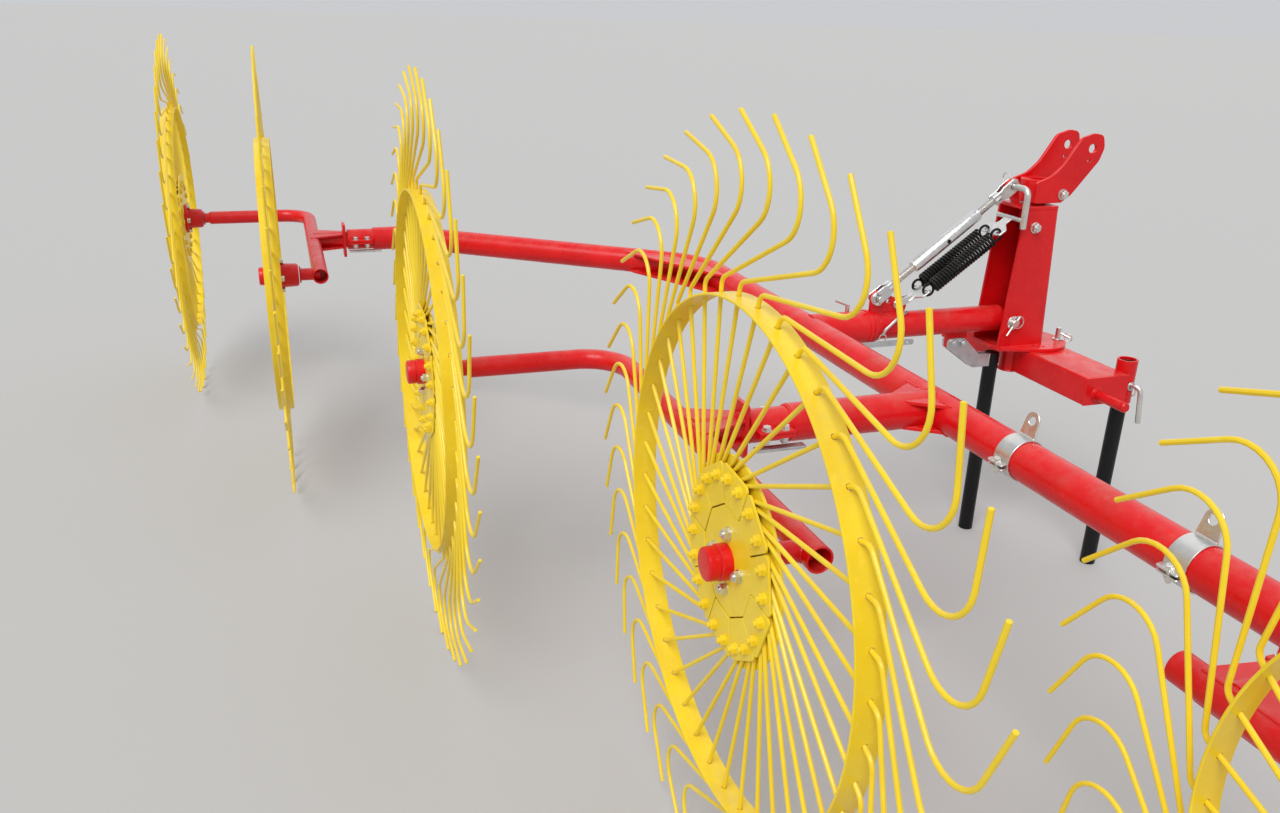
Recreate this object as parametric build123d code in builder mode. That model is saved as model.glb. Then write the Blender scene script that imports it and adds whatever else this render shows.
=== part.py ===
from build123d import *
import os

# Five-wheel finger-wheel rake, millimetres, Z up, origin on the ground under the middle of its box.
# +Y points to the tractor, +X along the beam to the end nearest the headstock's leg sleeve.
# Heights are above the ground; "row" means the slanted row of finger wheels.

# Row of wheels
WHEEL_COUNT = 5
PITCH_X = 1060
PITCH_Y = 340

# One finger wheel, in its own plane: 20 hairpins of square-modelled wire, two fingers each
PAIR_COUNT = 20
HOLE_ANGLE = 360 / PAIR_COUNT / 2
WIRE = 7.5
WIRE_GAP = 0.6
HOLE_CUT_FROM = 0.75
RIM_RADIUS = 428.5
RIM_THICK = 4
RIM_WIDTH = 46
SPOKE_SLANT = 16
LOOP_HALF = 8.3
LOOP_BACK = 5
BOLT_CIRCLE = 140
BOLT_LEAD = 41
KNEE_REACH = 25
KNEE_TURN = -62
FINGER_STRAIGHT = 228
HOOK_RADIUS = 58
HOOK_TURN = 116
HOOK_CORNERS = 2
FINGER_POINT = 96
DISC_RADIUS = 175
DISC_SIDES = 20
DISC_THICK = 5
CLAMP_COUNT = 10
CLAMP_INNER = 90
CLAMP_OUTER = 158
CLAMP_THICK = 4
CLAMP_GAP = 1.5

# Hub: a dust cap in front of the disc, a flange and a bearing housing behind it
CAP_RADIUS = 30
CAP_LENGTH = 40
CAP_LIP = 3
FLANGE_RADIUS = 56
FLANGE_THICK = 10
HOUSING_RADIUS = 37
HOUSING_LENGTH = 55
AXLE_RADIUS = 15
AXLE_FIT = 0.08
AXLE_IN_HUB = 45
HUB_END_GAP = 2
NECK_RADIUS = 19.5

# Cranks: a cross tube along X in front of its wheels, turning about a shaft along Y
CRANK_RADIUS = 25
CRANK_WALL = 4
CRANK_AHEAD = 140
CRANK_BEND = 110
TUBE_FROM_DISC = 100
CRANK_PAST_WHEEL = 40
CRANK_PAST_SHAFT = 90
SHAFT_RADIUS = 30
SHAFT_FIT = 0.1
SHAFT_IN_TUBE = 150
FLANGE_AHEAD = 105
CRANK_FLANGE = 10
CRANK_FLANGE_WIDE = 70
CRANK_FLANGE_TALL = 120
CRANK_FIN = 8
CRANK_FIN_REACH = 75
CRANK_MOUTH_SHARE = 1 / 3
SHAFT_END_GAP = 6
SPINDLE_OVERLAP = 1

# Beam: main tube along X, a slanted far end and three tubes along Y that carry the cranks
BEAM_RADIUS = 42
BEAM_AHEAD = 1075
BEAM_BEND_X = -888
BEAM_BEND = 250
BEAM_END_X = 1690
FAR_TUBE_LENGTH = 222
FAR_BEND = 90
BEARING_RADIUS = 37
BEARING_LENGTH = 95
GUSSET = 8
GUSSET_UP = 26
GUSSET_REACH = 300
GUSSET_SHORT = 240
GUSSET_IN = 50
TEE_GUSSET_REACH = 100
TEE_GUSSET_IN = 29
STRAP_X = (820, 1270)
STRAP_WIDE = 40
STRAP_THICK = 5
STRAP_LUG_TALL = 62
STRAP_LUG_WIDE = 32
STRAP_LUG_THICK = 8
STRAP_LUG_LEAN = 20
STRAP_HOLE = 9
STRAP_HOLE_UP = 44

# Arm: a tube along Y between the mast's hinge pin and the beam's roll bearing
ARM_X = -90
ARM_RADIUS = 38
ARM_LENGTH = 635
ARM_COLLAR_AT = 445
ARM_COLLAR_RADIUS = 47
ARM_COLLAR_THICK = 12
ARM_EYE_RADIUS = 22
ARM_EYE_WIDE = 104
ARM_PIN_RADIUS = 12
ARM_PIN_FIT = 0.1
ROLL_RADIUS = 30
ROLL_FIT = 0.1
ROLL_LENGTH = 84
ROLL_GAP = 2
SLEEVE_RADIUS = 50
LUG_THICK = 12
LOW_LUG_FOOT = 110
LOW_LUG_FOOT_BACK = 396
LOW_LUG_FOOT_UP = 23
LEG_LUG_LONG = 70
LEG_LUG_TALL = 46
LEG_LUG_BACK = 147
LEG_LUG_DOWN = 58

# Headstock, measured from the middle of the crossbar's top
HEAD_AHEAD = 122
BAR_TOP_DOWN = 85
BAR_LENGTH = 683
BAR_WIDE = 145
BAR_TALL = 80
BAR_WALL = 6
POST_BACK = 62
POST_RADIUS = 30
POST_WALL = 5
POST_MOUTH = 60
POST_FIT = 0.1
MAST_WIDE = 125
MAST_PLATE = 8
MAST_BASE = 10
MAST_GAP = 0.5
MAST_TOP = 424
MAST_FOOT_BACK = 163
MAST_TOP_BACK = 137
MAST_TOP_FRONT = 22
BASE_RADIUS = 110
BASE_SIDES = 24
BASE_BACK = 8
MAST_LUG_AHEAD = 16
MAST_LUG_FOOT = 40
MAST_LUG_ROOT = 8
COLLAR_RADIUS = 49
COLLAR_FROM = 430
COLLAR_TO = 494
EAR_GAP = 92
EAR_THICK = 10
EAR_HOLE_RADIUS = 12.85
EAR_HOLE_AHEAD = 62
EAR_HOLE_UP = 583
EAR_ROUND = 42
LINK_PIN_RADIUS = 14
LINK_PIN_LENGTH = 110
LINK_PIN_DOWN = 50
LINK_PIN_AHEAD = -30
END_PLATE = 8

# Parking legs
LEG_RADIUS = 21.5
LEG_FIT = 0.5
LEG_SLEEVE_RADIUS = 28
LEG_SLEEVE_IN = 41.5
LEG_SLEEVE_SEAT = 5
LEG_SLEEVE_UP = 32
LEG_SLEEVE_DOWN = 95
LEG_TOP_UP = 24
LEG_HINGE_BACK = 164
LEG_HINGE_DOWN = 66
LEG_BOLT_RADIUS = 8
REAR_LEG_BACK = 8
REAR_LEG_TOP = 108
LEG_PLATE = 8
LEG_PLATE_GAP = 0.5
LEG_PLATE_END = 16
LEG_PLATE_HALF = 14
LEG_PLATE_SHOULDER = 40
LEG_PLATE_BEND = 100
LEG_PLATE_SLANT = 20
LEG_PLATE_TALL = 40

# Turnbuckle and springs, measured from the arm's hinge pin
TOP_EYE_BACK = 30
TOP_EYE_UP = 390
LOW_EYE_BACK = 431
LOW_EYE_UP = 85
BARREL_RADIUS = 18
BARREL_FROM = 125
BARREL_TO = 368
ROD_RADIUS = 11
BARREL_BORE = 150
ROD_IN_BARREL = 60
ROD_IN_BLOCK = 4
FORK_PLATE = 6
FORK_RADIUS = 20
FORK_INSIDE = 7
FORK_WIDE = 36
TOP_BLOCK_AT = 46
LOW_BLOCK_AT = 32
FORK_BLOCK_LONG = 22
FORK_BLOCK_WIDE = 32
FORK_LIP = 3
EYE_SIDES = 12
EYE_PIN_RADIUS = 9.5
EYE_PIN_PLAY = 1.6
SPRING_RADIUS = 22
SPRING_APART = 54
SPRING_TOP_BACK = 70
SPRING_TOP_UP = 262
SPRING_LOW_BACK = 290
SPRING_LOW_UP = 100
SPRING_HOOK = 28
HOOK_ROD = 4
HOOK_SIDES = 6
HANGER_WIDE = 84
HANGER_THICK = 6
HANGER_LAP = 8
TOP_HANGER = 75
TOP_HANGER_BAR = 14
LOW_HANGER = 100

# Round tubes are drawn with this many sides and their bends with this many corners
TUBE_SIDES = 14
BEND_CORNERS = 3

os.makedirs("parts", exist_ok=True)


def save(builder, label):
    builder.part.label = label
    export_step(builder.part, f"parts/{label}.step")


def wheel_plane(number, offset=0):
    """Plane of wheel 1 to 5; its normal points back (-Y), its x to +X and its y up."""
    steps = number - (WHEEL_COUNT + 1) / 2
    centre = Vector(steps * PITCH_X, MID_WHEEL_Y + steps * PITCH_Y, AXLE_Z)
    return Plane(centre, x_dir=(1, 0, 0), z_dir=(0, -1, 0)).offset(offset)


def polar(radius, angle):
    return Vector(radius, 0).rotate(Axis.Z, angle)


def tangent(angle):
    arm = polar(1, angle)
    return arm.Y / arm.X


def wire_outline(points, width):
    """Corners of a flat wire of this width along the points, mitred at each turn."""
    left = []
    right = []
    for i, point in enumerate(points):
        before = points[max(i, 1) - 1]
        here = points[max(i, 1)]
        after = points[min(i, len(points) - 2) + 1]
        there = points[min(i, len(points) - 2)]
        first = (here - before).normalized().rotate(Axis.Z, 90)
        second = (after - there).normalized().rotate(Axis.Z, 90)
        mitre = (first + second) * (width / 2 / (1 + first.dot(second)))
        left.append(point + mitre)
        right.append(point - mitre)
    return left + right[::-1]


def rounded(points, radii, corners):
    """Points with each inner corner replaced by corners laid round an arc of its radius."""
    result = [points[0]]
    for before, here, after, radius in zip(points, points[1:], points[2:], radii):
        heading = (here - before).normalized()
        leaving = (after - here).normalized()
        turn = heading.get_angle(leaving)
        pivot = Axis((0, 0, 0), heading.cross(leaving))
        half_side = radius * tangent(turn / corners / 2)
        result.append(here - heading * (radius * tangent(turn / 2) - half_side))
        for _ in range(corners - 1):
            heading = heading.rotate(pivot, turn / corners)
            result.append(result[-1] + heading * (2 * half_side))
    return result + [points[-1]]


def tube(points, radius):
    """Tube along straight runs with mitred corners."""
    with BuildPart() as piece:
        with BuildLine() as route:
            Polyline(*points)
        with BuildSketch(Plane(points[0], x_dir=(0, 0, 1), z_dir=points[1] - points[0])):
            RegularPolygon(radius, TUBE_SIDES)
        sweep(path=route.wires()[0], transition=Transition.RIGHT)
    return piece.part


def finger_course(angle):
    """From the knee outside the rim, down the straight, round the hook's corners, to the tip."""
    step = HOOK_TURN / HOOK_CORNERS
    corner_reach = HOOK_RADIUS * tangent(step / 2)
    runs = [FINGER_STRAIGHT + corner_reach] + [2 * corner_reach] * (HOOK_CORNERS - 1)
    runs.append(FINGER_POINT + corner_reach)
    heading = polar(1, -SPOKE_SLANT)
    points = [Vector(RIM_RADIUS, 0) + heading * KNEE_REACH]
    heading = heading.rotate(Axis.Z, KNEE_TURN)
    for run in runs:
        points.append(points[-1] + heading * run)
        heading = heading.rotate(Axis.Z, step)
    return [point.rotate(Axis.Z, angle) for point in points]


# One hairpin: two fingers and the loop round its bolt; its holes lie at half a pitch either way
bolt = polar(BOLT_CIRCLE, BOLT_LEAD)
along = (Vector(RIM_RADIUS, 0) - bolt).normalized()
across = along.rotate(Axis.Z, 90)
upper_course = finger_course(HOLE_ANGLE / 2)
lower_course = finger_course(-HOLE_ANGLE / 2)
upper_corner = bolt + across * LOOP_HALF - along * LOOP_BACK
lower_corner = bolt - across * LOOP_HALF - along * LOOP_BACK
hairpin_course = upper_course[::-1] + [upper_corner, lower_corner] + lower_course

# Places that follow; the wheels stand on their finger tips
WIRE_CORNERS = [Vector(corner) for corner in wire_outline(hairpin_course, WIRE)]
PAIR_ANGLES = [pair * 360 / PAIR_COUNT for pair in range(PAIR_COUNT)]
AXLE_Z = max(corner.rotate(Axis.Z, angle).Y for corner in WIRE_CORNERS for angle in PAIR_ANGLES)
BAR_TOP_Z = AXLE_Z - BAR_TOP_DOWN
CAP_REACH = WIRE / 2 + CLAMP_THICK + CAP_LENGTH
FRONT_REACH = LEG_SLEEVE_RADIUS * 2 - LEG_SLEEVE_SEAT + BAR_WIDE / 2
ROW_TO_HEAD = BEAM_AHEAD + ARM_LENGTH + HEAD_AHEAD
MID_WHEEL_Y = ((WHEEL_COUNT - 1) / 2 * PITCH_Y + CAP_REACH - ROW_TO_HEAD - FRONT_REACH) / 2
BEAM_Y = MID_WHEEL_Y + BEAM_AHEAD
ARM_PIN_Y = BEAM_Y + ARM_LENGTH
HEAD_Y = ARM_PIN_Y + HEAD_AHEAD

with BuildPart() as hairpins:
    with BuildSketch() as hairpin_face:
        with BuildLine():
            Polyline(*wire_outline(hairpin_course, WIRE), close=True)
        make_face()
    extrude(amount=WIRE / 2, both=True)
hairpin = hairpins.part

with BuildPart() as finger_set:
    with PolarLocations(0, PAIR_COUNT):
        add(hairpin)

with BuildPart() as hole_pair:
    with BuildSketch():
        for corner, course in ((upper_corner, upper_course), (lower_corner, lower_course)):
            start = corner + (course[0] - corner) * HOLE_CUT_FROM
            with BuildLine():
                Polyline(*wire_outline([start, course[0]], WIRE + 2 * WIRE_GAP), close=True)
            make_face()
    extrude(amount=WIRE / 2 + WIRE_GAP, both=True)

with BuildPart() as rim_ring:
    with BuildSketch():
        RegularPolygon(RIM_RADIUS + RIM_THICK / 2, 2 * PAIR_COUNT, major_radius=False)
        RegularPolygon(RIM_RADIUS - RIM_THICK / 2, 2 * PAIR_COUNT, major_radius=False, mode=Mode.SUBTRACT)
    extrude(amount=RIM_WIDTH / 2, both=True)
    with PolarLocations(0, PAIR_COUNT):
        add(hole_pair.part, mode=Mode.SUBTRACT)

with BuildPart() as clamp:
    inner = CLAMP_INNER * tangent(180 / CLAMP_COUNT) - CLAMP_GAP / 2
    outer = CLAMP_OUTER * tangent(180 / CLAMP_COUNT) - CLAMP_GAP / 2
    with BuildSketch(Plane.XY.offset(WIRE / 2)):
        with BuildLine():
            Polyline(
                (CLAMP_INNER, -inner), (CLAMP_OUTER, -outer), (CLAMP_OUTER, outer), (CLAMP_INNER, inner), close=True
            )
        make_face()
    extrude(amount=CLAMP_THICK)

with BuildPart() as disc_plate:
    with BuildSketch(Plane.XY.offset(-WIRE / 2 - DISC_THICK)):
        RegularPolygon(DISC_RADIUS, DISC_SIDES)
    extrude(amount=DISC_THICK)
    with PolarLocations(0, CLAMP_COUNT):
        add(clamp.part)

# Hub: the cap stands on the disc's front, the flange and bearing housing on its back
back = -WIRE / 2 - DISC_THICK
# (radius, from, to) along the wheel's axis, from the disc's faces outward
HUB_STEPS = (
    (CAP_RADIUS, -WIRE / 2, CAP_REACH - CAP_LENGTH / 2),
    (CAP_RADIUS - CAP_LIP, CAP_REACH - CAP_LENGTH / 2, CAP_REACH),
    (FLANGE_RADIUS, back, back - FLANGE_THICK),
    (HOUSING_RADIUS, back - FLANGE_THICK, back - FLANGE_THICK - HOUSING_LENGTH),
)
with BuildPart() as hub_parts:
    for radius, start, end in HUB_STEPS:
        with BuildSketch(Plane.XY.offset(start)):
            RegularPolygon(radius, TUBE_SIDES)
        extrude(amount=end - start)
    with BuildSketch(Plane.XY.offset(back - FLANGE_THICK - HOUSING_LENGTH)):
        Circle(AXLE_RADIUS + AXLE_FIT)
    extrude(amount=AXLE_IN_HUB + HUB_END_GAP, mode=Mode.SUBTRACT)

WHEEL_PARTS = (
    ("fingers", finger_set.part),
    ("rim", rim_ring.part),
    ("disc", disc_plate.part),
    ("hub", hub_parts.part),
)
for number in range(1, WHEEL_COUNT + 1):
    for name, shape in WHEEL_PARTS:
        with BuildPart() as placed:
            with Locations(Location(wheel_plane(number))):
                add(shape)
        save(placed, f"wheel_{number}_{name}")

# Cranks: (number, shaft x, wheel on the bent end or None, wheel on the open end, open end x)
WHEEL_X = {n: wheel_plane(n).origin.X for n in range(1, WHEEL_COUNT + 1)}
WHEEL_Y = {n: wheel_plane(n).origin.Y for n in range(1, WHEEL_COUNT + 1)}
CRANKS = (
    (1, (WHEEL_X[1] + WHEEL_X[2]) / 2, 1, 2, WHEEL_X[2] + CRANK_PAST_WHEEL),
    (2, (WHEEL_X[3] + WHEEL_X[4]) / 2, 3, 4, WHEEL_X[4] + CRANK_PAST_WHEEL),
    (3, WHEEL_X[5] - PITCH_X / 2, None, 5, WHEEL_X[5] + CRANK_PAST_WHEEL),
)
axle_face = -WIRE / 2 - DISC_THICK - FLANGE_THICK - HOUSING_LENGTH
axle_level = Plane((0, 0, AXLE_Z), x_dir=(1, 0, 0), z_dir=(0, 0, 1))
mouth_y = {}


def cross_plane(x, y):
    """Plane across +Y at axle height; its x is +X."""
    return Plane((x, y, AXLE_Z), x_dir=(1, 0, 0), z_dir=(0, 1, 0))


def axle(wheel, tube_y):
    """Spindle in the hub and the neck behind it, up to the crank's tube at tube_y."""
    neck_face = -axle_face + HUB_END_GAP
    with BuildPart() as piece:
        with BuildSketch(wheel_plane(wheel, -neck_face)):
            Circle(AXLE_RADIUS)
        extrude(amount=HUB_END_GAP + AXLE_IN_HUB)
        with BuildSketch(wheel_plane(wheel, -neck_face)):
            RegularPolygon(NECK_RADIUS, TUBE_SIDES)
        extrude(amount=-(tube_y - WHEEL_Y[wheel] - neck_face))
    return piece.part


for number, shaft_x, bent_wheel, open_wheel, open_x in CRANKS:
    cross_y = WHEEL_Y[open_wheel] + CRANK_AHEAD
    flange_y = cross_y + FLANGE_AHEAD
    mouth_y[number] = flange_y + CRANK_FLANGE + SHAFT_END_GAP
    spindles = [axle(open_wheel, cross_y)]
    start = Vector(open_x, cross_y, AXLE_Z)
    if bent_wheel:
        tube_end = WHEEL_Y[bent_wheel] + TUBE_FROM_DISC
        corner = Vector(WHEEL_X[bent_wheel], cross_y, AXLE_Z)
        route = rounded([start, corner, Vector(corner.X, tube_end, AXLE_Z)], [CRANK_BEND], BEND_CORNERS)
        spindles.append(axle(bent_wheel, tube_end + SPINDLE_OVERLAP))
    else:
        route = [start, Vector(shaft_x - CRANK_PAST_SHAFT, cross_y, AXLE_Z)]
    crank_tube = tube(route, CRANK_RADIUS)
    with BuildPart() as crank:
        add(crank_tube)
        for spindle in spindles:
            add(spindle)
        with BuildSketch(cross_plane(shaft_x, cross_y)):
            Circle(SHAFT_RADIUS)
        extrude(amount=FLANGE_AHEAD + CRANK_FLANGE + SHAFT_END_GAP + SHAFT_IN_TUBE)
        with BuildSketch(cross_plane(shaft_x, flange_y)):
            Rectangle(CRANK_FLANGE_WIDE, CRANK_FLANGE_TALL)
        extrude(amount=CRANK_FLANGE)
        with BuildSketch(axle_level):
            with BuildLine():
                Polyline(
                    (shaft_x - CRANK_FIN_REACH, cross_y), (shaft_x + CRANK_FIN_REACH, cross_y),
                    (shaft_x + CRANK_FLANGE_WIDE / 2, flange_y), (shaft_x - CRANK_FLANGE_WIDE / 2, flange_y),
                    close=True
                )
            make_face()
        extrude(amount=CRANK_FIN / 2, both=True)
        with BuildSketch(Plane((open_x, cross_y, AXLE_Z), x_dir=(0, 1, 0), z_dir=(-1, 0, 0))):
            RegularPolygon(CRANK_RADIUS - CRANK_WALL, TUBE_SIDES)
        extrude(amount=CRANK_PAST_WHEEL * CRANK_MOUTH_SHARE, mode=Mode.SUBTRACT)
    save(crank, f"crank_{number}")

# Beam: its branches end in narrower bearings for the cranks' shafts
SHAFT_X = {number: shaft for number, shaft, bent, open_wheel, end in CRANKS}
FORWARD = Vector(0, 1, 0)
far_y = mouth_y[1] + FAR_TUBE_LENGTH
beam_route = [
    Vector(BEAM_END_X, BEAM_Y, AXLE_Z), Vector(BEAM_BEND_X, BEAM_Y, AXLE_Z),
    Vector(SHAFT_X[1], far_y, AXLE_Z), Vector(SHAFT_X[1], mouth_y[1] + BEARING_LENGTH, AXLE_Z),
]
roll_mouth = ARM_PIN_Y - ARM_COLLAR_AT - ARM_COLLAR_THICK / 2 - ROLL_GAP
beam_tubes = [tube(rounded(beam_route, [BEAM_BEND, FAR_BEND], BEND_CORNERS), BEAM_RADIUS)]
for number, x in SHAFT_X.items():
    mouth = Vector(x, mouth_y[number], AXLE_Z)
    branch = mouth + FORWARD * BEARING_LENGTH
    beam_tubes.append(tube([mouth, branch + FORWARD * SPINDLE_OVERLAP], BEARING_RADIUS))
    if number > 1:
        beam_tubes.append(tube([branch, Vector(x, BEAM_Y, AXLE_Z)], BEAM_RADIUS))
beam_tubes.append(tube([Vector(ARM_X, roll_mouth, AXLE_Z), Vector(ARM_X, BEAM_Y, AXLE_Z)], SLEEVE_RADIUS))

with BuildPart() as beam:
    for piece in beam_tubes:
        add(piece)
    # Gusset plates above and below the inside of the main bend, and at the tees
    bend = Vector(BEAM_BEND_X, BEAM_Y)
    away = (Vector(SHAFT_X[1], far_y) - bend).normalized()
    inward = away.rotate(Axis.Z, 90)
    for up in (GUSSET_UP, -GUSSET_UP - GUSSET):
        with BuildSketch(axle_level.offset(up)):
            with BuildLine():
                Polyline(
                    bend, bend + Vector(GUSSET_REACH, 0), bend + Vector(GUSSET_SHORT, -GUSSET_IN),
                    bend + away * GUSSET_SHORT + inward * GUSSET_IN, bend + away * GUSSET_REACH, close=True
                )
            make_face()
            for number in (2, 3):
                tee = Vector(SHAFT_X[number], BEAM_Y)
                with BuildLine():
                    Polyline(
                        tee + Vector(TEE_GUSSET_REACH, 0), tee + Vector(TEE_GUSSET_IN, -TEE_GUSSET_REACH),
                        tee + Vector(-TEE_GUSSET_IN, -TEE_GUSSET_REACH), tee + Vector(-TEE_GUSSET_REACH, 0),
                        close=True
                    )
                make_face()
        extrude(amount=GUSSET)
    for number, x in SHAFT_X.items():
        with BuildSketch(cross_plane(x, mouth_y[number])):
            Circle(SHAFT_RADIUS + SHAFT_FIT)
        extrude(amount=SHAFT_IN_TUBE + SHAFT_END_GAP, mode=Mode.SUBTRACT)
    with BuildSketch(cross_plane(ARM_X, roll_mouth)):
        Circle(ROLL_RADIUS + ROLL_FIT)
    extrude(amount=-(ROLL_LENGTH + SHAFT_END_GAP), mode=Mode.SUBTRACT)
save(beam, "beam")

# Strap clamps round the beam, each with a lug that leans forward
with BuildPart() as straps:
    for x in STRAP_X:
        strap_plane = Plane((x, BEAM_Y, AXLE_Z), x_dir=(0, 1, 0), z_dir=(1, 0, 0))
        lug_plane = strap_plane.rotated((0, 0, -STRAP_LUG_LEAN))
        with BuildSketch(lug_plane):
            with Locations((0, BEAM_RADIUS + STRAP_LUG_TALL / 2)):
                Rectangle(STRAP_LUG_WIDE, STRAP_LUG_TALL)
            with Locations((0, BEAM_RADIUS + STRAP_LUG_TALL)):
                RegularPolygon(STRAP_LUG_WIDE / 2, EYE_SIDES, major_radius=False)
            with Locations((0, BEAM_RADIUS + STRAP_HOLE_UP)):
                RegularPolygon(STRAP_HOLE, EYE_SIDES, mode=Mode.SUBTRACT)
        extrude(amount=STRAP_LUG_THICK / 2, both=True)
        with BuildSketch(strap_plane):
            RegularPolygon(BEAM_RADIUS + STRAP_THICK, TUBE_SIDES, rotation=90)
        extrude(amount=STRAP_WIDE / 2, both=True)
        with BuildSketch(strap_plane):
            RegularPolygon(BEAM_RADIUS, TUBE_SIDES, rotation=90)
        extrude(amount=STRAP_WIDE, both=True, mode=Mode.SUBTRACT)
save(straps, "beam_straps")

# Arm: cross eye, tube, collar, roll spindle, and the lugs for turnbuckle and leg
eye_plane = Plane((ARM_X, ARM_PIN_Y, AXLE_Z), x_dir=(0, 1, 0), z_dir=(1, 0, 0))
back_plane = Plane((ARM_X, ARM_PIN_Y, AXLE_Z), x_dir=(1, 0, 0), z_dir=(0, -1, 0))
with BuildPart() as arm:
    with BuildSketch(back_plane):
        RegularPolygon(ARM_RADIUS, TUBE_SIDES)
    extrude(amount=ARM_COLLAR_AT)
    with BuildSketch(eye_plane):
        RegularPolygon(ARM_EYE_RADIUS, TUBE_SIDES)
    extrude(amount=ARM_EYE_WIDE / 2, both=True)
    with BuildSketch(back_plane.offset(ARM_COLLAR_AT - ARM_COLLAR_THICK / 2)):
        RegularPolygon(ARM_COLLAR_RADIUS, TUBE_SIDES)
    extrude(amount=ARM_COLLAR_THICK)
    with BuildSketch(back_plane.offset(ARM_COLLAR_AT)):
        Circle(ROLL_RADIUS)
    extrude(amount=ARM_COLLAR_THICK / 2 + ROLL_GAP + ROLL_LENGTH)
    with BuildSketch(eye_plane):
        with Locations((-LOW_EYE_BACK, LOW_EYE_UP)):
            RegularPolygon(FORK_RADIUS, EYE_SIDES)
        with Locations((-LOW_LUG_FOOT_BACK, LOW_LUG_FOOT_UP)):
            Rectangle(LOW_LUG_FOOT, LUG_THICK)
        make_hull()
    extrude(amount=LUG_THICK / 2, both=True)
    with BuildSketch(eye_plane):
        with Locations((-LEG_LUG_BACK, -LEG_LUG_DOWN)):
            Rectangle(LEG_LUG_LONG, LEG_LUG_TALL)
    extrude(amount=LUG_THICK / 2, both=True)
    with BuildSketch(eye_plane):
        with Locations((-LEG_HINGE_BACK, -LEG_HINGE_DOWN)):
            Circle(LEG_BOLT_RADIUS + ARM_PIN_FIT)
        Circle(ARM_PIN_RADIUS + ARM_PIN_FIT)
        with Locations((-LOW_EYE_BACK, LOW_EYE_UP)):
            Circle(EYE_PIN_RADIUS + EYE_PIN_PLAY)
    extrude(amount=ARM_EYE_WIDE, both=True, mode=Mode.SUBTRACT)
save(arm, "arm")

# Headstock: crossbar, post, top-link head, lower-link pins and the front leg's sleeve
bar_plane = Plane((ARM_X, HEAD_Y, BAR_TOP_Z), x_dir=(1, 0, 0), z_dir=(0, 0, 1))
side_plane = Plane((ARM_X, HEAD_Y, BAR_TOP_Z), x_dir=(0, 1, 0), z_dir=(1, 0, 0))
sleeve_at = (BAR_LENGTH / 2 - LEG_SLEEVE_IN, BAR_WIDE / 2 + LEG_SLEEVE_RADIUS - LEG_SLEEVE_SEAT)
post_at = (0, -POST_BACK)
with BuildPart() as crossbar:
    with BuildSketch(side_plane):
        with Locations((0, -BAR_TALL / 2)):
            Rectangle(BAR_WIDE, BAR_TALL)
            Rectangle(BAR_WIDE - 2 * BAR_WALL, BAR_TALL - 2 * BAR_WALL, mode=Mode.SUBTRACT)
    extrude(amount=BAR_LENGTH / 2, both=True)
    with BuildSketch(bar_plane.offset(-BAR_TALL)):
        with Locations(post_at):
            Circle(POST_RADIUS)
    extrude(amount=BAR_TALL + COLLAR_TO)
    with BuildSketch(bar_plane.offset(-LEG_SLEEVE_DOWN)):
        with Locations(sleeve_at):
            RegularPolygon(LEG_SLEEVE_RADIUS, TUBE_SIDES, rotation=90)
    extrude(amount=LEG_SLEEVE_DOWN + LEG_SLEEVE_UP)
    with BuildSketch(bar_plane.offset(-LEG_SLEEVE_DOWN)):
        with Locations(sleeve_at):
            RegularPolygon(LEG_RADIUS + LEG_FIT, TUBE_SIDES, rotation=90)
    extrude(amount=LEG_SLEEVE_DOWN + LEG_SLEEVE_UP, mode=Mode.SUBTRACT)
    with BuildSketch(bar_plane.offset(COLLAR_TO - POST_MOUTH)):
        with Locations(post_at):
            RegularPolygon(POST_RADIUS - POST_WALL, TUBE_SIDES)
    extrude(amount=POST_MOUTH, mode=Mode.SUBTRACT)
save(crossbar, "headstock_crossbar")

with BuildPart() as link_ends:
    for end in (-1, 1):
        end_plane = side_plane.offset(end * BAR_LENGTH / 2)
        with BuildSketch(end_plane):
            with Locations((LINK_PIN_AHEAD, -LINK_PIN_DOWN)):
                Circle(LINK_PIN_RADIUS)
        extrude(amount=end * LINK_PIN_LENGTH)
        with BuildSketch(end_plane):
            with Locations((0, -BAR_TALL / 2)):
                Rectangle(BAR_WIDE, BAR_TALL)
        extrude(amount=end * END_PLATE)
save(link_ends, "lower_link_ends")

with BuildPart() as top_head:
    with BuildSketch(bar_plane.offset(COLLAR_FROM)):
        with Locations(post_at):
            RegularPolygon(COLLAR_RADIUS, TUBE_SIDES)
    extrude(amount=COLLAR_TO - COLLAR_FROM)
    for end in (-1, 1):
        with BuildSketch(side_plane.offset(end * EAR_GAP / 2)):
            with Locations((EAR_HOLE_AHEAD, EAR_HOLE_UP)):
                RegularPolygon(EAR_ROUND, TUBE_SIDES)
            with Locations((-POST_BACK, (COLLAR_FROM + COLLAR_TO) / 2)):
                Rectangle(2 * COLLAR_RADIUS, COLLAR_TO - COLLAR_FROM)
            make_hull()
        extrude(amount=end * EAR_THICK)
    with BuildSketch(bar_plane.offset(COLLAR_FROM)):
        with Locations(post_at):
            Circle(POST_RADIUS)
    extrude(amount=COLLAR_TO - COLLAR_FROM, mode=Mode.SUBTRACT)
    with BuildSketch(side_plane):
        with Locations((EAR_HOLE_AHEAD, EAR_HOLE_UP)):
            Circle(EAR_HOLE_RADIUS)
    extrude(amount=EAR_GAP, both=True, mode=Mode.SUBTRACT)
save(top_head, "top_link_head")

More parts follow.
